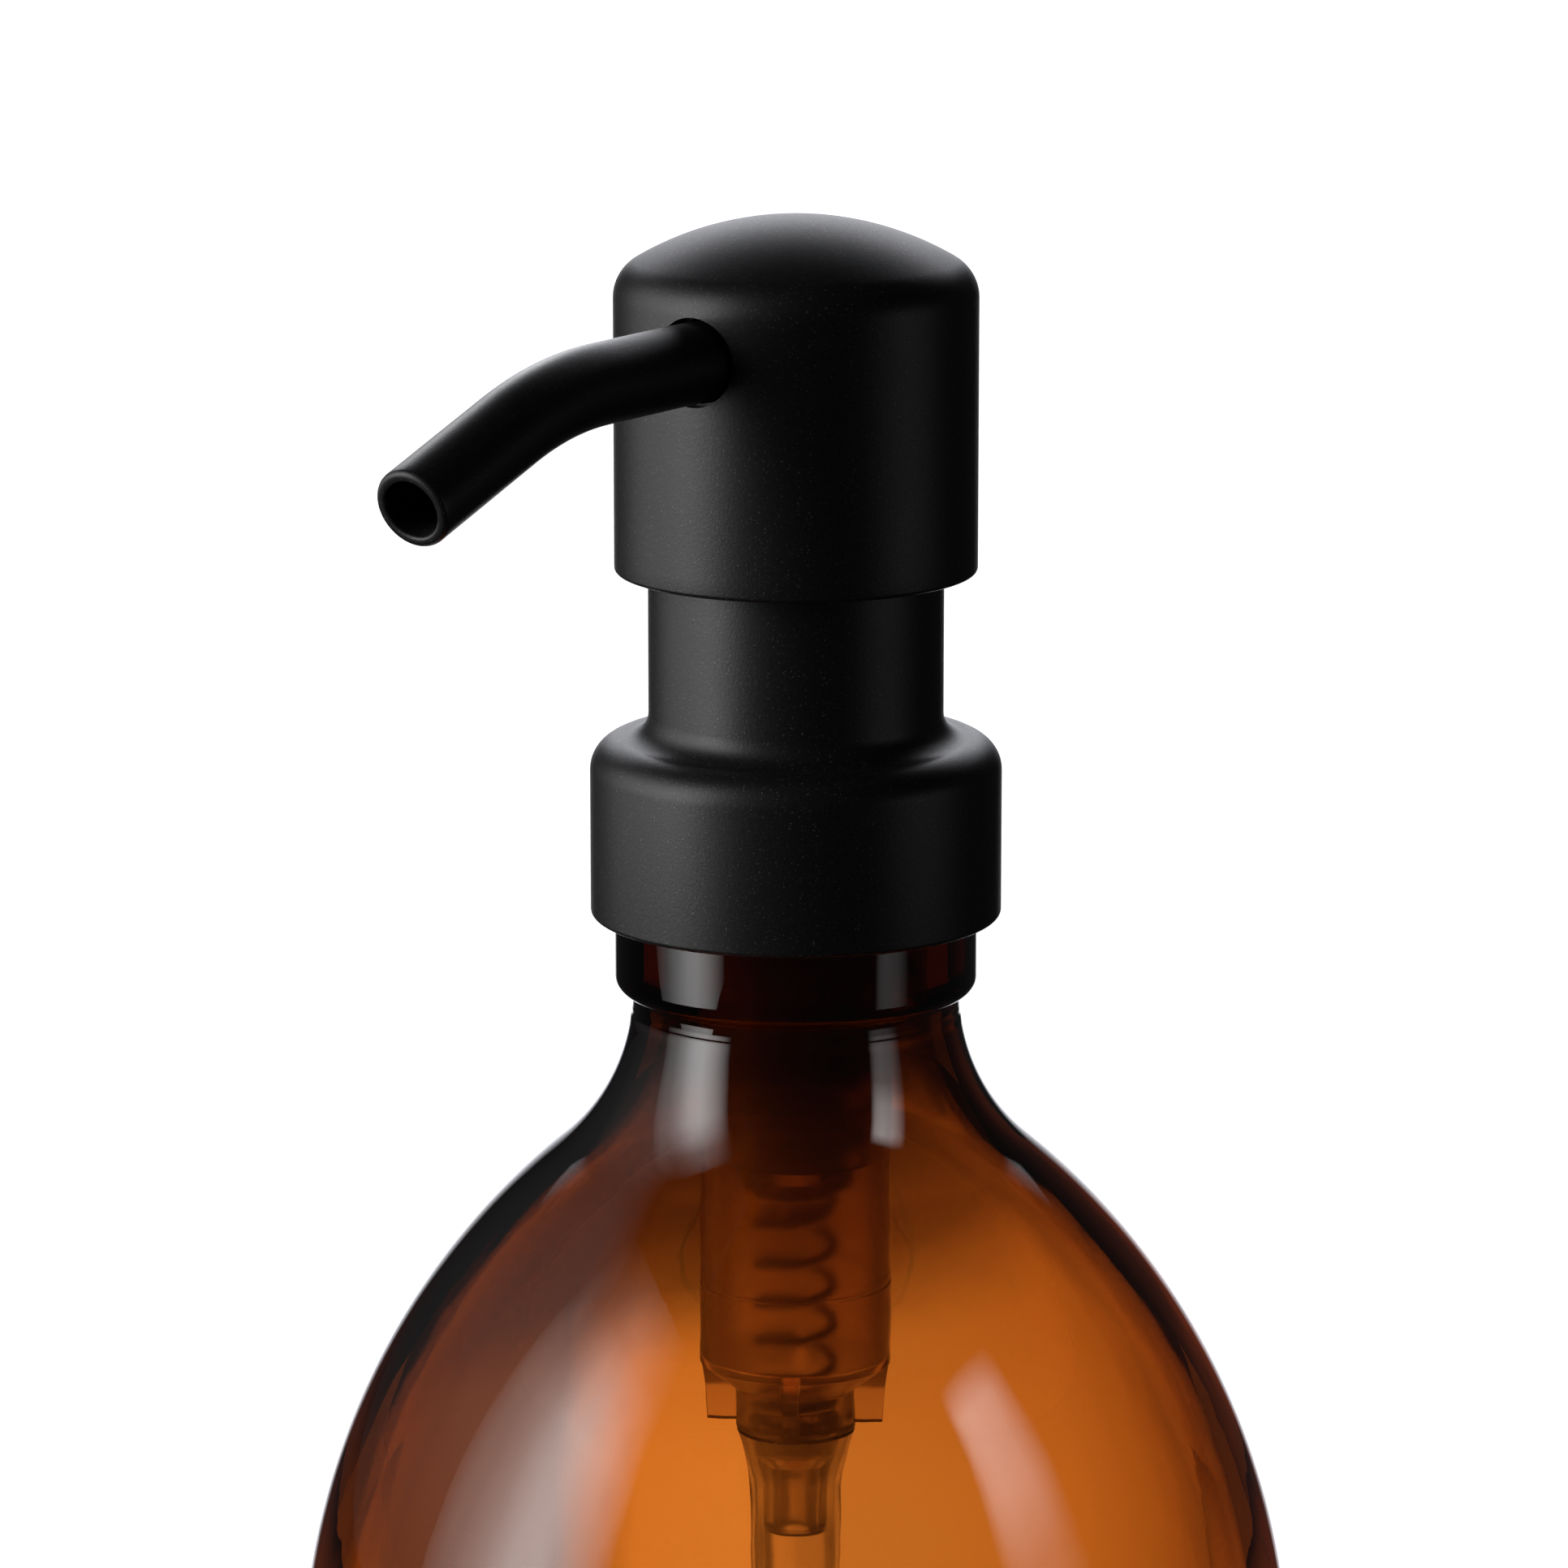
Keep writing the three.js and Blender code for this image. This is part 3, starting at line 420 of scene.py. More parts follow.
stem = wrapped("hollow_stem", stem_line, 180, reshape=foot_slots)
PISTON_BOTTOM, PISTON_TOP = span("piston")
middle = (PISTON_BOTTOM + PISTON_TOP) / 2
half = [(4.2, PISTON_BOTTOM, 0.15), (4.2, middle - 0.5, 0.2), (5.4, middle - 0.5, 0.2),
        (5.5, middle - 2.6, 0.1), (6.1, middle - 2.6, 0.1), (5.9, middle - 1.3, 0.6)]
mirrored = [(r, 2 * middle - z, f) for r, z, f in half[::-1]]
piston = wrapped("piston_cup", drawn([(3.2, PISTON_BOTTOM, 0.1), *half, *mirrored, (3.2, PISTON_TOP, 0.1)]))
PIN = span("valve_seat")[0]
DISC = 141.1
CROSS, RIB = 1.7, 0.55
seat_line = drawn([
    (0, PIN), (2.2, PIN, 0.5), (2.2, DISC - 2, 0.15), (4.6, DISC - 2, 0.2), (4.6, DISC - 0.9, 0.15),
    (3.7, DISC, 0.15), (1.75, DISC), (1.74, DISC + 0.02), (CROSS, DISC + 0.1), (CROSS, DISC + 6, 0.3),
    (0, DISC + 6)], ends=True)


def fluted(r, z, a):
    """Above the disc the plug is a cross: the radius is the farther of two bars' edges at that angle."""
    c, s = abs(np.cos(a)) + 1e-6, abs(np.sin(a)) + 1e-6
    edge = np.maximum(np.minimum(CROSS / c, RIB / s), np.minimum(CROSS / s, RIB / c))
    return np.where((z > DISC + 0.01) & (r > 0.9), np.minimum(r, edge * r / CROSS), r), z


seat = wrapped("valve_plug", seat_line, 144, reshape=fluted)
ball_line = arc((0, sum(span("inlet_ball")) / 2), 1.75, -90, 90, 32)
ball_line[[0, -1], 0] = 0
ball = wrapped("steel_ball", ball_line, 64)
print("stem, piston, plug and ball faces:", [len(o.data.polygons) for o in (stem, piston, seat, ball)])

# %% [markdown]
# ## The return spring
# The spring is 0.8 mm wire in seven right-handed turns. Its first and last turns lie closed and the five
# between are open, so the rise is not even along the wire. The wire is an outline carried along that helix.

# %% The coil
SPRING_BOTTOM, SPRING_TOP = span("return_spring")
WIRE, COIL, TURNS = 0.4, 3.0, 7


def helix(turn):
    """A point at angle 2 pi * turn and radius COIL. It rises by the closed pitch for one turn at each end,
    and evenly between. The wire's circle lies square to a helix of the closed pitch."""
    closed = 2 * WIRE + 0.1
    free = SPRING_TOP - SPRING_BOTTOM - 2 * WIRE - 2 * closed
    in_closed = np.minimum(turn, 1) + np.maximum(turn - (TURNS - 1), 0)
    height = SPRING_BOTTOM + WIRE + closed * in_closed + free * (turn - in_closed) / (TURNS - 2)
    angle = 2 * np.pi * turn
    outward = np.stack([np.cos(angle), np.sin(angle), np.zeros_like(angle)], 1)
    slope = np.full_like(turn, closed / (2 * np.pi * COIL))
    along = np.stack([-np.sin(angle), np.cos(angle), slope], 1)
    along /= np.linalg.norm(along, axis=1)[:, None]
    centre = COIL * outward + np.stack([0 * height, 0 * height, height], 1)
    return centre, outward, np.cross(along, outward)


turns = np.linspace(0.004, TURNS - 0.004, 60 * TURNS)
coil_line = np.concatenate([
    [[0, 0.0]], [[WIRE * 0.8, 0.0]], np.stack([np.full(turns.size, WIRE), turns], 1),
    [[WIRE * 0.8, TURNS]], [[0, TURNS]]])
spring = wrapped("coil_spring", coil_line, 16, path=helix, sharp=70)
print("spring faces:", len(spring.data.polygons))

# %% [markdown]
# ## Dip tube, stem guide and gasket
# The dip tube is soft and stretches over the tail, so its top flares in a hollow curve. Its foot is cut at
# 45 degrees, so that it can't seal itself against the floor. The guide closes the housing, and the gasket
# seals the rim.

# %% The long tube and the two rings
TUBE_TIP, TUBE_TOP = span("dip_tube")
TUBE, TUBE_BORE = 3.6, 2.65
STRAIGHT_TOP, FLARE_BOTTOM = 100, 114.6
flare = np.linspace(0, 1, 14)
flare_out = np.stack([TUBE + flare**1.8, FLARE_BOTTOM + (TUBE_TOP - FLARE_BOTTOM) * flare], 1)
tube_foot = drawn([
    (TUBE_BORE, STRAIGHT_TOP), (TUBE_BORE, TUBE_TIP, 0.12), (TUBE, TUBE_TIP, 0.12), (TUBE, STRAIGHT_TOP)],
    ends=True)
tube_line = np.concatenate([
    tube_foot[1:-1], finer(np.array([[TUBE, TUBE_TIP + 1], [TUBE, TUBE_TIP + 20]]), 2),
    [[TUBE, STRAIGHT_TOP]], flare_out,
    [[3.66, TUBE_TOP], [2.66, 115.8], [TUBE_BORE, TAIL - 0.4], [TUBE_BORE, TUBE_TIP + 20]],
    finer(np.array([[TUBE_BORE, TUBE_TIP + 19], [TUBE_BORE, TUBE_TIP + 1]]), 2)])


def slanted_foot(r, z, a):
    """Points near the foot slide up by TUBE - x, so that the foot's rim lies in a plane at 45 degrees."""
    share = np.clip(1 - (z - TUBE_TIP) / 19, 0, 1)
    return r, z + (TUBE - r * np.cos(a)) * share


tube = wrapped("dip_tube_smooth", tube_line, 64, reshape=slanted_foot)
GUIDE_BOTTOM, GUIDE_TOP = span("stem_guide")
GUIDE_HOLE, SKIRT, SKIRT_BORE = 3.3, 6, 5
TOWER, TOWER_BORE, LID, LID_TOP = 10.5, 9.1, 174.1, 176.5
guide = wrapped("guide_tower", drawn([
    (GUIDE_HOLE, LID, 0.2), (SKIRT_BORE, LID, 0.3), (SKIRT_BORE, GUIDE_BOTTOM, 0.2),
    (SKIRT, GUIDE_BOTTOM, 0.2), (SKIRT, LID + 0.1, 0.1), (TOWER, LID + 0.1, 0.2), (TOWER, GUIDE_TOP, 0.4),
    (TOWER_BORE, GUIDE_TOP, 0.3), (TOWER_BORE, LID_TOP, 0.6), (GUIDE_HOLE, LID_TOP, 0.4)]))
SEAL_BOTTOM, SEAL_TOP = 172.1, 173.1
seal = wrapped("neck_gasket", drawn([
    (7.8, SEAL_BOTTOM, 0.25), (12.4, SEAL_BOTTOM, 0.25), (12.4, SEAL_TOP, 0.25), (7.8, SEAL_TOP, 0.25)]))
print("tube, guide and gasket faces:", [len(o.data.polygons) for o in (tube, guide, seal)])

# %% [markdown]
# ## The head
# The head is a drawn cap of 0.9 mm metal with a shallow dome. The hole for the spout is cut afterwards, as
# in the factory: a Boolean modifier takes a rod away from the wall, and the result is kept as a plain mesh.

# %% The domed cap and its hole
HEAD_BOTTOM, HEAD_TOP = span("head_shell")
HEAD, HEAD_WALL, DOME, HEAD_CORNER = 14.05, 0.9, 24.5, 3.3
MID_SIDE = 200
dome_z = HEAD_TOP - DOME
round_r = HEAD - HEAD_CORNER
round_z = dome_z + math.sqrt((DOME - HEAD_CORNER) ** 2 - round_r**2)
meet = math.degrees(math.atan2(round_z - dome_z, round_r))
inner_dome = arc((0, dome_z), DOME - HEAD_WALL, 90, meet, 20)
outer_dome = arc((0, dome_z), DOME, meet, 90, 20)
inner_dome[0, 0] = outer_dome[-1, 0] = 0
lower_edge = drawn([
    (HEAD - HEAD_WALL, MID_SIDE), (HEAD - HEAD_WALL, HEAD_BOTTOM, 0.2), (HEAD, HEAD_BOTTOM, 0.35),
    (HEAD, MID_SIDE)], ends=True)
head_line = np.concatenate([
    inner_dome, arc((round_r, round_z), HEAD_CORNER - HEAD_WALL, meet, 0, 12)[1:], lower_edge[1:-1],
    arc((round_r, round_z), HEAD_CORNER, 0, meet, 14), outer_dome[1:]])
cap_shell = wrapped("domed_head", finer(head_line, 1.2), 160)
SPOUT_Z, HOLE = 206.9, 3.425
toward = np.array([-1, -1, 0]) / math.sqrt(2)
level_side = np.cross([0, 0, 1], toward)
rod_line = np.array([[0, 6.5], [HOLE, 6.5], [HOLE, 30], [0, 30]])


def spout_level(distance):
    """A straight level path from the axis in the spout's direction."""
    centre = distance[:, None] * toward + np.array([0, 0, SPOUT_Z])
    along, side = (np.repeat(v[None], len(distance), 0) for v in (toward, level_side))
    return centre, side, np.cross(along, side)


cutter = wrapped("hole_cutter", rod_line, 72, path=spout_level)
hole = cap_shell.modifiers.new("spout hole", "BOOLEAN")
hole.operation, hole.solver, hole.object = "DIFFERENCE", "EXACT", cutter
shaped = bpy.data.meshes.new_from_object(cap_shell.evaluated_get(bpy.context.evaluated_depsgraph_get()))
cap_shell.modifiers.clear()
cap_shell.data = shaped
shaped.shade_smooth()
shaped.set_sharp_from_angle(angle=math.radians(30))
bpy.data.objects.remove(cutter)
print("head faces:", len(cap_shell.data.polygons))

# %% [markdown]
# ## The spout
# The spout is a metal tube that leaves the head level, bends down and ends in a straight tip with a rounded
# lip. Its outline is the tube's wall, and its path is a line, an arc and a line again. It starts inside the
# head.

# %% The bent tube
SPOUT, SPOUT_BORE, SPOUT_START = 3.075, 2.225, 6
STRAIGHT, BEND_RADIUS, BEND, TIP = 20, 35, math.radians(19), 12.6
LENGTH = STRAIGHT + BEND_RADIUS * BEND + TIP


def spout_path(distance):
    """The turn so far is the distance past the straight part over the bend's radius, at most the full bend.
    The section's first direction is level and its second is square to both that and the tube."""
    turned = np.clip(distance - STRAIGHT, 0, BEND_RADIUS * BEND) / BEND_RADIUS
    after = np.maximum(distance - STRAIGHT - BEND_RADIUS * BEND, 0)
    out = SPOUT_START + np.minimum(distance, STRAIGHT) + BEND_RADIUS * np.sin(turned) + after * math.cos(BEND)
    down = BEND_RADIUS * (1 - np.cos(turned)) + after * math.sin(BEND)
    centre = out[:, None] * toward + (SPOUT_Z - down)[:, None] * np.array([0, 0, 1])
    along = np.cos(turned)[:, None] * toward - np.sin(turned)[:, None] * np.array([0, 0, 1])
    side = np.repeat(level_side[None], len(distance), 0)
    return centre, side, np.cross(along, side)


spout_line = finer(drawn([
    (SPOUT_BORE, 0, 0.1), (SPOUT, 0, 0.1), (SPOUT, LENGTH, 0.42), (SPOUT_BORE, LENGTH, 0.25),
    (SPOUT_BORE, 0.2)]), 0.8)
spout = wrapped("bent_spout", spout_line, 72, path=spout_path)
print("spout faces:", len(spout.data.polygons))

# %% [markdown]
# ## Writing finishes
# A finish is a small network of nodes. Written node by node it is long and hard to read, so one small class
# wraps a socket and lets plain arithmetic add the Math nodes. A second class adds any other node by name,
# with short methods for the ones that are used again and again.

# %% Sockets that can be added and multiplied
class Field:
    """A number that varies over a surface: an output socket with Python's operators."""

    def __init__(self, finish, socket):
        self.finish, self.socket = finish, socket

    def __add__(self, other):
        return self.finish.maths("ADD", self, other)

    def __mul__(self, other):
        return self.finish.maths("MULTIPLY", self, other)

    def __sub__(self, other):
        return self.finish.maths("SUBTRACT", self, other)

    def __rsub__(self, other):
        return self.finish.maths("SUBTRACT", other, self)

    __radd__, __rmul__ = __add__, __mul__


class Finish:
    """A material's or a world's nodes."""

    def __init__(self, name, owner=None):
        self.owner = owner or bpy.data.materials.new(name)
        self.owner.use_nodes = True
        self.tree = self.owner.node_tree
        self.tree.nodes.clear()

    def node(self, kind, settings=None, inputs=None, output=0):
        """Adds a node, sets its settings, then its sockets, and returns one of its outputs as a Field."""
        node = self.tree.nodes.new(kind)
        for key, value in (settings or {}).items():
            if key == "stops":
                ramp = node.color_ramp.elements
                for _ in value[2:]:
                    ramp.new(0.5)
                for element, (position, shade) in zip(ramp, value):
                    element.position, element.color = position, (shade, shade, shade, 1)
            else:
                setattr(node, key, value)
        for key, value in (inputs or {}).items():
            if isinstance(value, Field):
                self.tree.links.new(value.socket, node.inputs[key])
            else:
                node.inputs[key].default_value = value
        return Field(self, node.outputs[output]) if len(node.outputs) else node

    def maths(self, operation, *values):
        """A Math node's result."""
        return self.node("ShaderNodeMath", {"operation": operation}, dict(enumerate(values)))

    def place(self, stretch=(1, 1, 1)):
        """The point on the object in metres, with each direction stretched."""
        where = self.node("ShaderNodeTexCoord", output="Object")
        return self.node("ShaderNodeMapping", {}, {"Vector": where, "Scale": stretch})

    def height(self):
        """The height of the point on the object in metres."""
        return self.node("ShaderNodeSeparateXYZ", {}, {0: self.place()}, output=2)

    def noise(self, scale, detail=2.0, stretch=(1, 1, 1), roughness=0.5):
        """Soft random values about 0.5, with features of about 1 / scale metres."""
        return self.node("ShaderNodeTexNoise", {}, {
            "Vector": self.place(stretch), "Scale": scale, "Detail": detail, "Roughness": roughness})

    def ramp(self, value, *stops):
        """A value passed through straight stretches between (position, value) stops."""
        return self.node("ShaderNodeValToRGB", {"stops": stops}, {"Fac": value})

    def blend(self, share, low, high):
        """The colour low where share is 0, high where it is 1, and a mixture between."""
        colours = {0: share, 6: (*low, 1), 7: (*high, 1)}
        return self.node("ShaderNodeMix", {"data_type": "RGBA"}, colours, output=2)

    def bump(self, height, distance, strength):
        return self.node("ShaderNodeBump", {}, {"Height": height, "Distance": distance, "Strength": strength})

    def surface(self, inputs):
        """The Principled shader, linked to the output. Inputs are constants or Fields by socket name."""
        return self.out(Surface=self.node("ShaderNodeBsdfPrincipled", {}, inputs))

    def out(self, **links):
        """Adds the output node and links Fields to it by socket name."""
        kind = "World" if isinstance(self.owner, bpy.types.World) else "Material"
        end = self.tree.nodes.new("ShaderNodeOutput" + kind)
        for key, value in links.items():
            self.tree.links.new(value.socket, end.inputs[key])
        return self


print("finishes can now be written as expressions")

# %% [markdown]
# ## Amber glass
# Brown glass is coloured through its whole thickness, so a thick edge is nearly black and a thin wall is
# orange. A tinted surface can't do that. The surface is clear glass, and the colour is absorption in the
# volume between the wall's two faces. The neck and the bead are darker than that alone makes them, so from
# there up the surface has a painted shade, a dark brown tint. Shadow rays pass straight on, so what is
# inside stays lit.

# %% The glass finish
glass = Finish("amber_glass")
swell = glass.noise(70, 1.0) * 0.7 + glass.noise(260, 1.5, stretch=(1, 1, 0.45)) * 0.3
# painted shade: from the neck up the glass is tinted dark, so less light comes through it
painted_neck_shade = glass.ramp(glass.height() * 5, (0.70, 0.0), (0.76, 1.0))
clear = glass.node("ShaderNodeBsdfPrincipled", {}, {
    "Base Color": glass.blend(painted_neck_shade, (1, 1, 1), (0.22, 0.16, 0.15)), "Roughness": 0.012, "IOR": 1.52,
    "Transmission Weight": 1.0, "Normal": glass.bump(swell, 0.00012, 0.5)})
shadow = glass.node("ShaderNodeLightPath", output="Is Shadow Ray")
through = glass.node("ShaderNodeBsdfTransparent", {}, {"Color": (1, 1, 1, 1)})
glass.out(
    Surface=glass.node("ShaderNodeMixShader", {}, {0: shadow, 1: clear, 2: through}),
    Volume=glass.node("ShaderNodeVolumeAbsorption", {}, {"Color": (0.881, 0.561, 0.016, 1), "Density": 830}))
print("glass nodes:", len(glass.tree.nodes))

# %% [markdown]
# ## Powder coat
# The metal is coated in a fine matt black powder. Close up it has a soft grain of a fifth of a millimetre,
# and a few lighter grains that catch the light. The gloss breaks up in the grain more than the shade does.

# %% The black metal finish
coat = Finish("black_metal")
grain = coat.noise(4200, 3.0, roughness=0.65)
patches = coat.noise(220, 2.0)
specks = coat.ramp(coat.noise(7200, 0.0), (0.0, 0.0), (0.735, 0.0), (0.80, 1.0))
coat.surface({
    "Base Color": coat.blend(specks + (grain - 0.4) * 0.12, (0.0036, 0.0036, 0.0042), (0.062, 0.058, 0.053)),
    "Roughness": 0.34 + grain * 0.1 + patches * 0.04 - specks * 0.1,
    "Specular IOR Level": 0.36,
    "Normal": coat.bump(grain, 0.00003, 0.5)})
print("powder coat nodes:", len(coat.tree.nodes))

# %% [markdown]
# ## Plastics, foam and steel
# The pump's inner parts are natural polypropylene: cloudy, but clear enough to show the spring. That is glass
# with a rough surface and a milky colour. The tube is the same plastic drawn out, with faint lines along it.
# Black parts are plainly moulded, the gasket is fine foam, and the wire and the ball are bare steel.

# %% The other finishes
def cloudy(name, clear_tint, thick_tint, roughness, stretch, low, high):
    """A milky plastic: rough transmission, with flow marks in the gloss and a shallow bump. Its tint goes
    from clear_tint at the height low to the second, darker tint at the height high, in metres: a painted
    shade that makes the plastic darker higher up."""
    finish = Finish(name)
    flow = finish.noise(420, 3.0, stretch=stretch)
    # painted shade: the tint darkens with height
    share = (finish.height() - low) * (1 / (high - low)) + (flow - 0.5) * 0.3
    return finish.surface({
        "Base Color": finish.blend(share, clear_tint, thick_tint), "Roughness": roughness + flow * 0.1,
        "IOR": 1.49, "Transmission Weight": 0.94, "Normal": finish.bump(flow, 0.00005, 0.4)})


natural = cloudy("natural_plastic", clear_tint=(0.95, 0.89, 0.82), thick_tint=(0.74, 0.60, 0.50),
                 roughness=0.17, stretch=(1, 1, 0.5), low=0.114, high=0.128)
drawn_tube = cloudy("tube_plastic", clear_tint=(1.0, 0.99, 0.98), thick_tint=(0.97, 0.93, 0.88),
                    roughness=0.05, stretch=(1, 1, 0.03), low=0.08, high=0.122)
moulded = Finish("black_plastic")
mould = moulded.noise(2600, 3.0)
moulded.surface({
    "Base Color": moulded.blend(moulded.noise(300), (0.010, 0.010, 0.011), (0.016, 0.016, 0.017)),
    "Roughness": 0.38 + mould * 0.18, "Normal": moulded.bump(mould, 0.00002, 0.5)})
foam = Finish("gasket_foam")
cells = foam.node("ShaderNodeTexVoronoi", {}, {"Vector": foam.place(), "Scale": 4500})
foam.surface({
    "Base Color": foam.blend(cells, (0.82, 0.82, 0.80), (0.66, 0.66, 0.64)),
    "Roughness": 0.85 + cells * 0.1, "Normal": foam.bump(cells, 0.00005, 0.6)})
steel = Finish("stainless_steel")
drawing = steel.noise(1800, 3.0, stretch=(1, 1, 6))
steel.surface({
    "Base Color": steel.blend(drawing, (0.60, 0.60, 0.61), (0.50, 0.50, 0.52)), "Metallic": 1.0,
    "Roughness": 0.16 + drawing * 0.14, "Normal": steel.bump(drawing, 0.00001, 0.4)})
print("finishes:", [m.name for m in bpy.data.materials])

# %% [markdown]
# ## Giving each piece its finish and its body, and hiding the plain solid it stands for
# Every new surface moves with the body of the plain solid it stands for. Two nodes keep their own mesh,
# because they are cut from many directions and their shape is right as it is: they only get a finish.

# %% Pieces join the frame
places = [
    (bottle, "bottle", "bottle", "amber_glass", glass),
    (collar, "closure", "collar_shroud", "black_metal", coat),
    (cap, "closure", "screw_closure", "black_plastic", moulded),
    (seal, "pump", "gasket", "gasket_foam", foam),
    (housing, "pump", "pump_housing", "natural_plastic", natural),
    (guide, "pump", "stem_guide", "black_plastic", moulded),
    (tube, "pump", "dip_tube", "tube_plastic", drawn_tube),
    (ball, "ball", "inlet_ball", "stainless_steel", steel),
    (spring, "pump", "return_spring", "stainless_steel", steel),
    (seat, "plunger", "valve_seat", "natural_plastic", natural),
    (piston, "piston", "piston", "natural_plastic", natural),
    (stem, "head", "stem", "natural_plastic", natural),
    (cap_shell, "head", "head_shell", "black_metal", coat),
    (spout, "head", "spout", "black_metal", coat)]
for piece, body, node, slot, finish in places:
    piece.data.materials.clear()
    piece.data.materials.append(finish.owner)
    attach(piece, body)
    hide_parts(node)
for node, finish in (("ball_cage", natural), ("head_core", moulded)):
    kept = frame["nodes"][node]
    kept.data.materials.clear()
    kept.data.materials.append(finish.owner)
press = next(j for j in frame["joints"] if j["name"] == "head_press")
keep = 1 + press["range_m"][0] / MM / (SPRING_TOP - SPRING_BOTTOM)
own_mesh(spring)
print("pieces:", len(places), "the pressed spring keeps", round(keep, 3), "of its height")

# %% [markdown]
# ## Camera
# The camera looks down a little at the pump, from the right-hand side of the spout, with a long lens, so that
# upright lines stay nearly upright. It aims at the rim of the bottle.

# %% The camera
turn = math.radians(11)
away = Vector((math.sin(turn), math.cos(turn), 0))
right = Vector((math.cos(turn), -math.sin(turn), 0))
aim = Vector((0, 0, RIM * MM)) - right * 0.00093
camera = bpy.data.objects.new("camera", bpy.data.cameras.new("camera"))
bpy.context.scene.collection.objects.link(camera)
camera.location = aim - away * 0.5471 + Vector((0, 0, 0.1193))
camera.rotation_mode = "QUATERNION"
camera.rotation_quaternion = (aim - camera.location).to_track_quat("-Z", "Y")
camera.data.sensor_width, camera.data.lens = 36, 165.4
camera.data.clip_start, camera.data.clip_end = 0.01, 20
bpy.context.scene.camera = camera
print("camera distance in m:", round((aim - camera.location).length, 3))

# %% [markdown]
# ## Light
# Black and glass show only what they reflect, so the light is built for its reflections, out of glowing
# cards. A tall soft lamp on the left lights every piece. The others light only what they are there for: a
# second one on the left and a faint one on the right for the metal, a rim light behind for the spout, and a
# tall lamp on the right and a thin veil on the left for the glass. A glow far behind comes from the world.
# Dark glass also needs light behind it. A card close behind the bottle and a low ring round it give that,
# and only light that passes through the glass can see them.

# %% Soft lamps and the light behind the glass
def card(name, centre, half_width, half_height, level, profile, pieces=(), opaque=False):
    """A flat rectangle that faces the bottle. profile(finish, across, up) gives its brightness from two
    Fields that go from 0 to 1 across it and up it. It lights only the pieces named, or all when none are,
    and it hides nothing behind it unless it is opaque."""
    centre = Vector(centre)
    facing = (Vector((0, 0, centre.z)) - centre).normalized()
    across = Vector((0, 0, 1)).cross(facing).normalized()
    up = Vector((0, 0, 1))
    signs = ((-1, -1), (1, -1), (1, 1), (-1, 1))
    corners = [centre + across * x * half_width + up * y * half_height for x, y in signs]
    piece = mesh_piece(name, np.array(corners) / MM, [(0, 1, 2, 3)])
    piece.data.uv_layers.new(name="card").data.foreach_set("uv", [0, 0, 1, 0, 1, 1, 0, 1])
    finish = Finish(name)
    where = finish.node("ShaderNodeSeparateXYZ", {}, {0: finish.node("ShaderNodeUVMap", {"uv_map": "card"})})
    across_field, up_field = (Field(finish, where.socket.node.outputs[k]) for k in (0, 1))
    strength = profile(finish, across_field, up_field) * level
    glow = finish.node("ShaderNodeEmission", {}, {"Strength": strength})
    gap = finish.node("ShaderNodeBsdfTransparent", {}, {"Color": (0, 0, 0, 1) if opaque else (1, 1, 1, 1)})
    finish.out(Surface=finish.node("ShaderNodeAddShader", {}, {0: glow, 1: gap}))
    piece.data.materials.append(finish.owner)
    piece.visible_camera = False
    piece.visible_transmission = opaque
    if pieces:
        receivers = bpy.data.collections.new(name)
        for lit_piece in pieces:
            receivers.objects.link(lit_piece)
        piece.light_linking.receiver_collection = receivers
    piece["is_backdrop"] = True
    return piece


def around(angle, distance, height):
    """A point at that many degrees to the right of the camera's direction, seen from the bottle."""
    a = math.radians(angle)
    return (-away * math.cos(a) + right * math.sin(a)) * distance + Vector((0, 0, height))


def soft(f, x, y, *up_stops):
    """A lamp that fades out evenly at both sides, and up it as the stops say."""
    return f.ramp(x, (0.0, 0.0), (0.35, 1.0), (0.65, 1.0), (1.0, 0.0)) * f.ramp(y, *up_stops)


metal_pieces = (cap_shell, collar, spout)
lamps = [
    card("left_lamp", around(-72, 0.6, 0.5), 0.3, 0.5, 6.8, lambda f, x, y: (
        f.ramp(x, (0.0, 0.0), (0.24, 0.7), (0.38, 1.0), (0.5, 0.9), (0.65, 0.5), (0.8, 0.22), (1.0, 0.04))
        * f.ramp(y, (0.0, 0.5), (0.15, 1.0), (0.5, 1.0), (0.75, 0.25), (1.0, 0.05)))),
    card("left_lamp_for_the_metal", around(-102, 0.6, 0.4), 0.3, 0.4, 2.3, lambda f, x, y: (
        soft(f, x, y, (0.0, 0.6), (0.5, 1.0), (0.75, 0.3), (1.0, 0.0))), metal_pieces),
    card("left_veil_for_the_glass", around(-122, 0.7, 0.6), 0.55, 0.55, 0.5, lambda f, x, y: (
        f.ramp(x, (0.0, 0.0), (0.15, 1.0), (0.45, 0.5), (0.7, 0.15), (1.0, 0.0))
        * f.ramp(y, (0.0, 0.3), (0.3, 1.0), (0.7, 1.0), (1.0, 0.0))), (bottle,)),
    card("right_lamp_for_the_glass", around(63, 0.6, 0.36), 0.13, 0.36, 4.8, lambda f, x, y: (
        f.ramp(x, (0.0, 0.0), (0.35, 0.75), (0.7, 1.0), (0.86, 0.8), (1.0, 0.0))
        * f.ramp(y, (0.0, 0.1), (0.15, 0.25), (0.4, 0.3), (0.58, 0.8), (0.85, 1.0), (1.0, 0.0))), (bottle,)),
    card("right_lamp_for_the_metal", around(72, 0.6, 0.16), 0.26, 0.2, 0.5, lambda f, x, y: (
        soft(f, x, y, (0.0, 0.3), (0.3, 1.0), (0.6, 1.0), (1.0, 0.0))), metal_pieces),
    card("rim_lamp_for_the_spout", around(-168, 0.6, 0.43), 0.12, 0.1, 6.5, lambda f, x, y: (
        soft(f, x, y, (0.0, 0.0), (0.3, 1.0), (0.6, 0.7), (1.0, 0.0))), (spout,))]


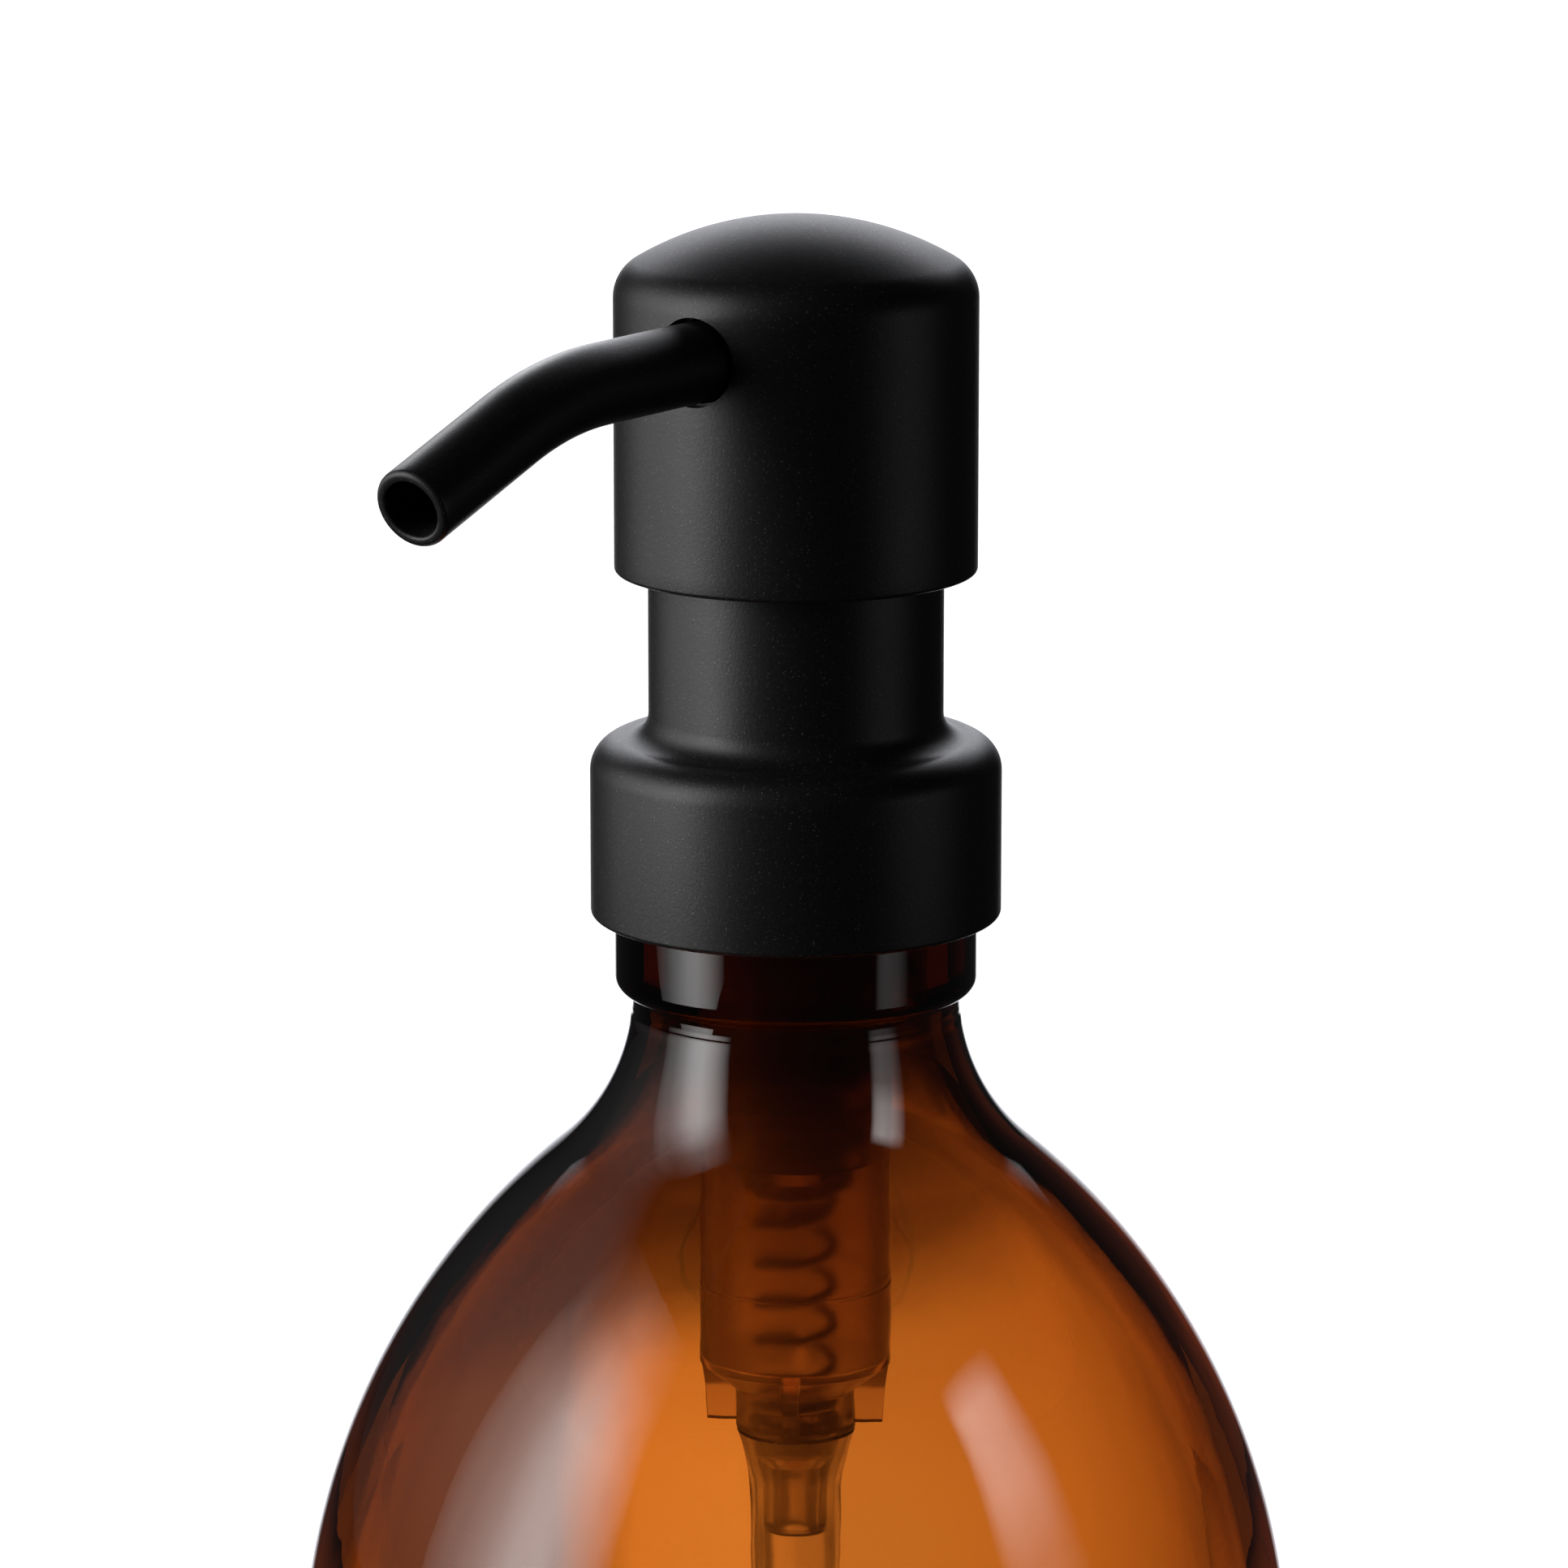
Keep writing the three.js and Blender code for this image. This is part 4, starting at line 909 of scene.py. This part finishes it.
def seen_through(f, x, y):
    """The brightness behind the glass: dark at the left, dimmer to the right, and dark from the shoulder up.
    Towards the floor it evens out."""
    level = f.ramp(x, (0.0, 0.12), (0.355, 0.19), (0.405, 1.0), (0.47, 1.0), (0.51, 0.78), (0.67, 0.76),
                   (0.73, 0.62), (0.85, 0.2), (1.0, 0.05))
    even = f.ramp(y, (0.0, 1.0), (0.16, 1.0), (0.31, 0.0))
    raised = 0.36 + (y - 0.36) * f.ramp(x, (0.5, 1.0), (0.67, 0.45))
    fall = f.ramp(raised, (0.0, 1.0), (0.355, 1.0), (0.38, 0.85), (0.398, 0.24), (0.4155, 0.08),
                  (0.437, 0.02), (0.46, 0.004), (1.0, 0.0))
    return (level + (0.75 - level) * even) * fall


back_card = card("card_behind_the_glass", around(180, 0.1, 0.15), 0.09, 0.22, 1.25, seen_through, opaque=True)
RING_SIDES, RING_RADIUS, RING_HEIGHT = 64, 115, 95
ring_angle = np.tile(np.arange(RING_SIDES) * 2 * np.pi / RING_SIDES, 2)
ring_level = np.repeat([0, RING_HEIGHT], RING_SIDES)
ring_points = np.stack([RING_RADIUS * np.cos(ring_angle), RING_RADIUS * np.sin(ring_angle), ring_level], 1)
low_ring = mesh_piece("low_ring_behind_the_glass", ring_points, ring_faces(2, RING_SIDES, False).tolist())
ring_finish = Finish("low_ring")
ring_finish.out(Surface=ring_finish.node("ShaderNodeEmission", {}, {
    "Strength": ring_finish.ramp(ring_finish.height() * 10, (0.0, 0.95), (0.45, 0.85), (0.95, 0.0))}))
low_ring.data.materials.append(ring_finish.owner)
low_ring.visible_camera = False
for behind_glass in (back_card, low_ring):
    behind_glass.visible_diffuse = behind_glass.visible_glossy = behind_glass.visible_shadow = False
low_ring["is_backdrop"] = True
print("lamps:", [lamp.name for lamp in (*lamps, back_card, low_ring)])

# %% [markdown]
# ## Floor and surroundings
# The floor glows, so that it is an even white to the camera and fades near the bottle. Light that has passed
# through the glass sees a floor that is bright only under the bottle, and elsewhere nearly black.

# %% The floor
FLOOR, FLOOR_Z = 6000, -0.2
floor_finish = Finish("pale_floor")
spot = floor_finish.node("ShaderNodeVectorMath", {"operation": "LENGTH"}, {0: floor_finish.place()}, output=1)
pale = {
    "Base Color": (0.86, 0.86, 0.86, 1), "Roughness": 0.6, "Specular IOR Level": 0.1,
    "Emission Color": (1, 1, 1, 1)}
open_level = 0.32 + floor_finish.ramp(spot, (0.0, 0.0), (0.1, 0.05), (0.27, 1.0)) * 0.68
dim_level = floor_finish.ramp(spot, (0.0, 0.85), (0.118, 0.85), (0.135, 0.03))
open_floor, dim_floor = (
    floor_finish.node("ShaderNodeBsdfPrincipled", {}, {**pale, "Emission Strength": level})
    for level in (open_level, dim_level))
seen = floor_finish.node("ShaderNodeLightPath", output="Is Camera Ray")
floor_finish.out(Surface=floor_finish.node("ShaderNodeMixShader", {}, {0: seen, 1: dim_floor, 2: open_floor}))
floor_corners = [(x * FLOOR, y * FLOOR, FLOOR_Z) for x, y in ((-1, -1), (1, -1), (1, 1), (-1, 1))]
floor = mesh_piece("floor", floor_corners, [(0, 1, 2, 3)])
floor.data.materials.append(floor_finish.owner)
floor.visible_glossy = floor.visible_diffuse = False
floor_finish.owner.cycles.emission_sampling = "NONE"
floor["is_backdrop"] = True
print("floor width in mm:", 2 * FLOOR)

# %% The surroundings
world = bpy.data.worlds.new("studio")
bpy.context.scene.world = world
studio = Finish("studio", world)
direction = studio.node("ShaderNodeTexCoord", output="Generated")
dot = {"operation": "DOT_PRODUCT"}
behind, aside, rise = (
    studio.node("ShaderNodeVectorMath", dot, {0: direction, 1: tuple(axis)}, output=1)
    for axis in (away, right, (0, 0, 1)))
spread = studio.maths("ABSOLUTE", aside)
widening = studio.ramp(rise, (0.0, 1.0), (0.22, 1.0), (0.36, 0.5))
window = (studio.ramp(behind, (0.0, 0.0), (0.5, 1.0))
          * studio.ramp(spread * widening, (0.0, 1.0), (0.12, 1.0), (0.3, 0.0))
          * studio.ramp(rise, (0.0, 0.6), (0.22, 0.68), (0.34, 1.0), (0.42, 1.0), (0.58, 0.0)))
seen = studio.node("ShaderNodeLightPath", output="Is Camera Ray")
studio.out(Surface=studio.node("ShaderNodeBackground", {}, {
    "Color": studio.blend(seen, (0.93, 0.94, 1.0), (1, 1, 1)),
    "Strength": studio.maths("MAXIMUM", 0.02 + window * 3.1, seen)}))
world.cycles.sampling_method = "NONE"
bpy.context.scene.view_settings.view_transform = "Standard"
print("world nodes:", len(studio.tree.nodes))

# %% The two boxes, and the end
bpy.context.view_layer.update()
made_box = [list(corner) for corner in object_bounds()]
growth = [[round(1000 * (b - a), 3) for a, b in zip(p, q)] for p, q in zip(frame_box, made_box)]
print("size difference in mm:", growth)
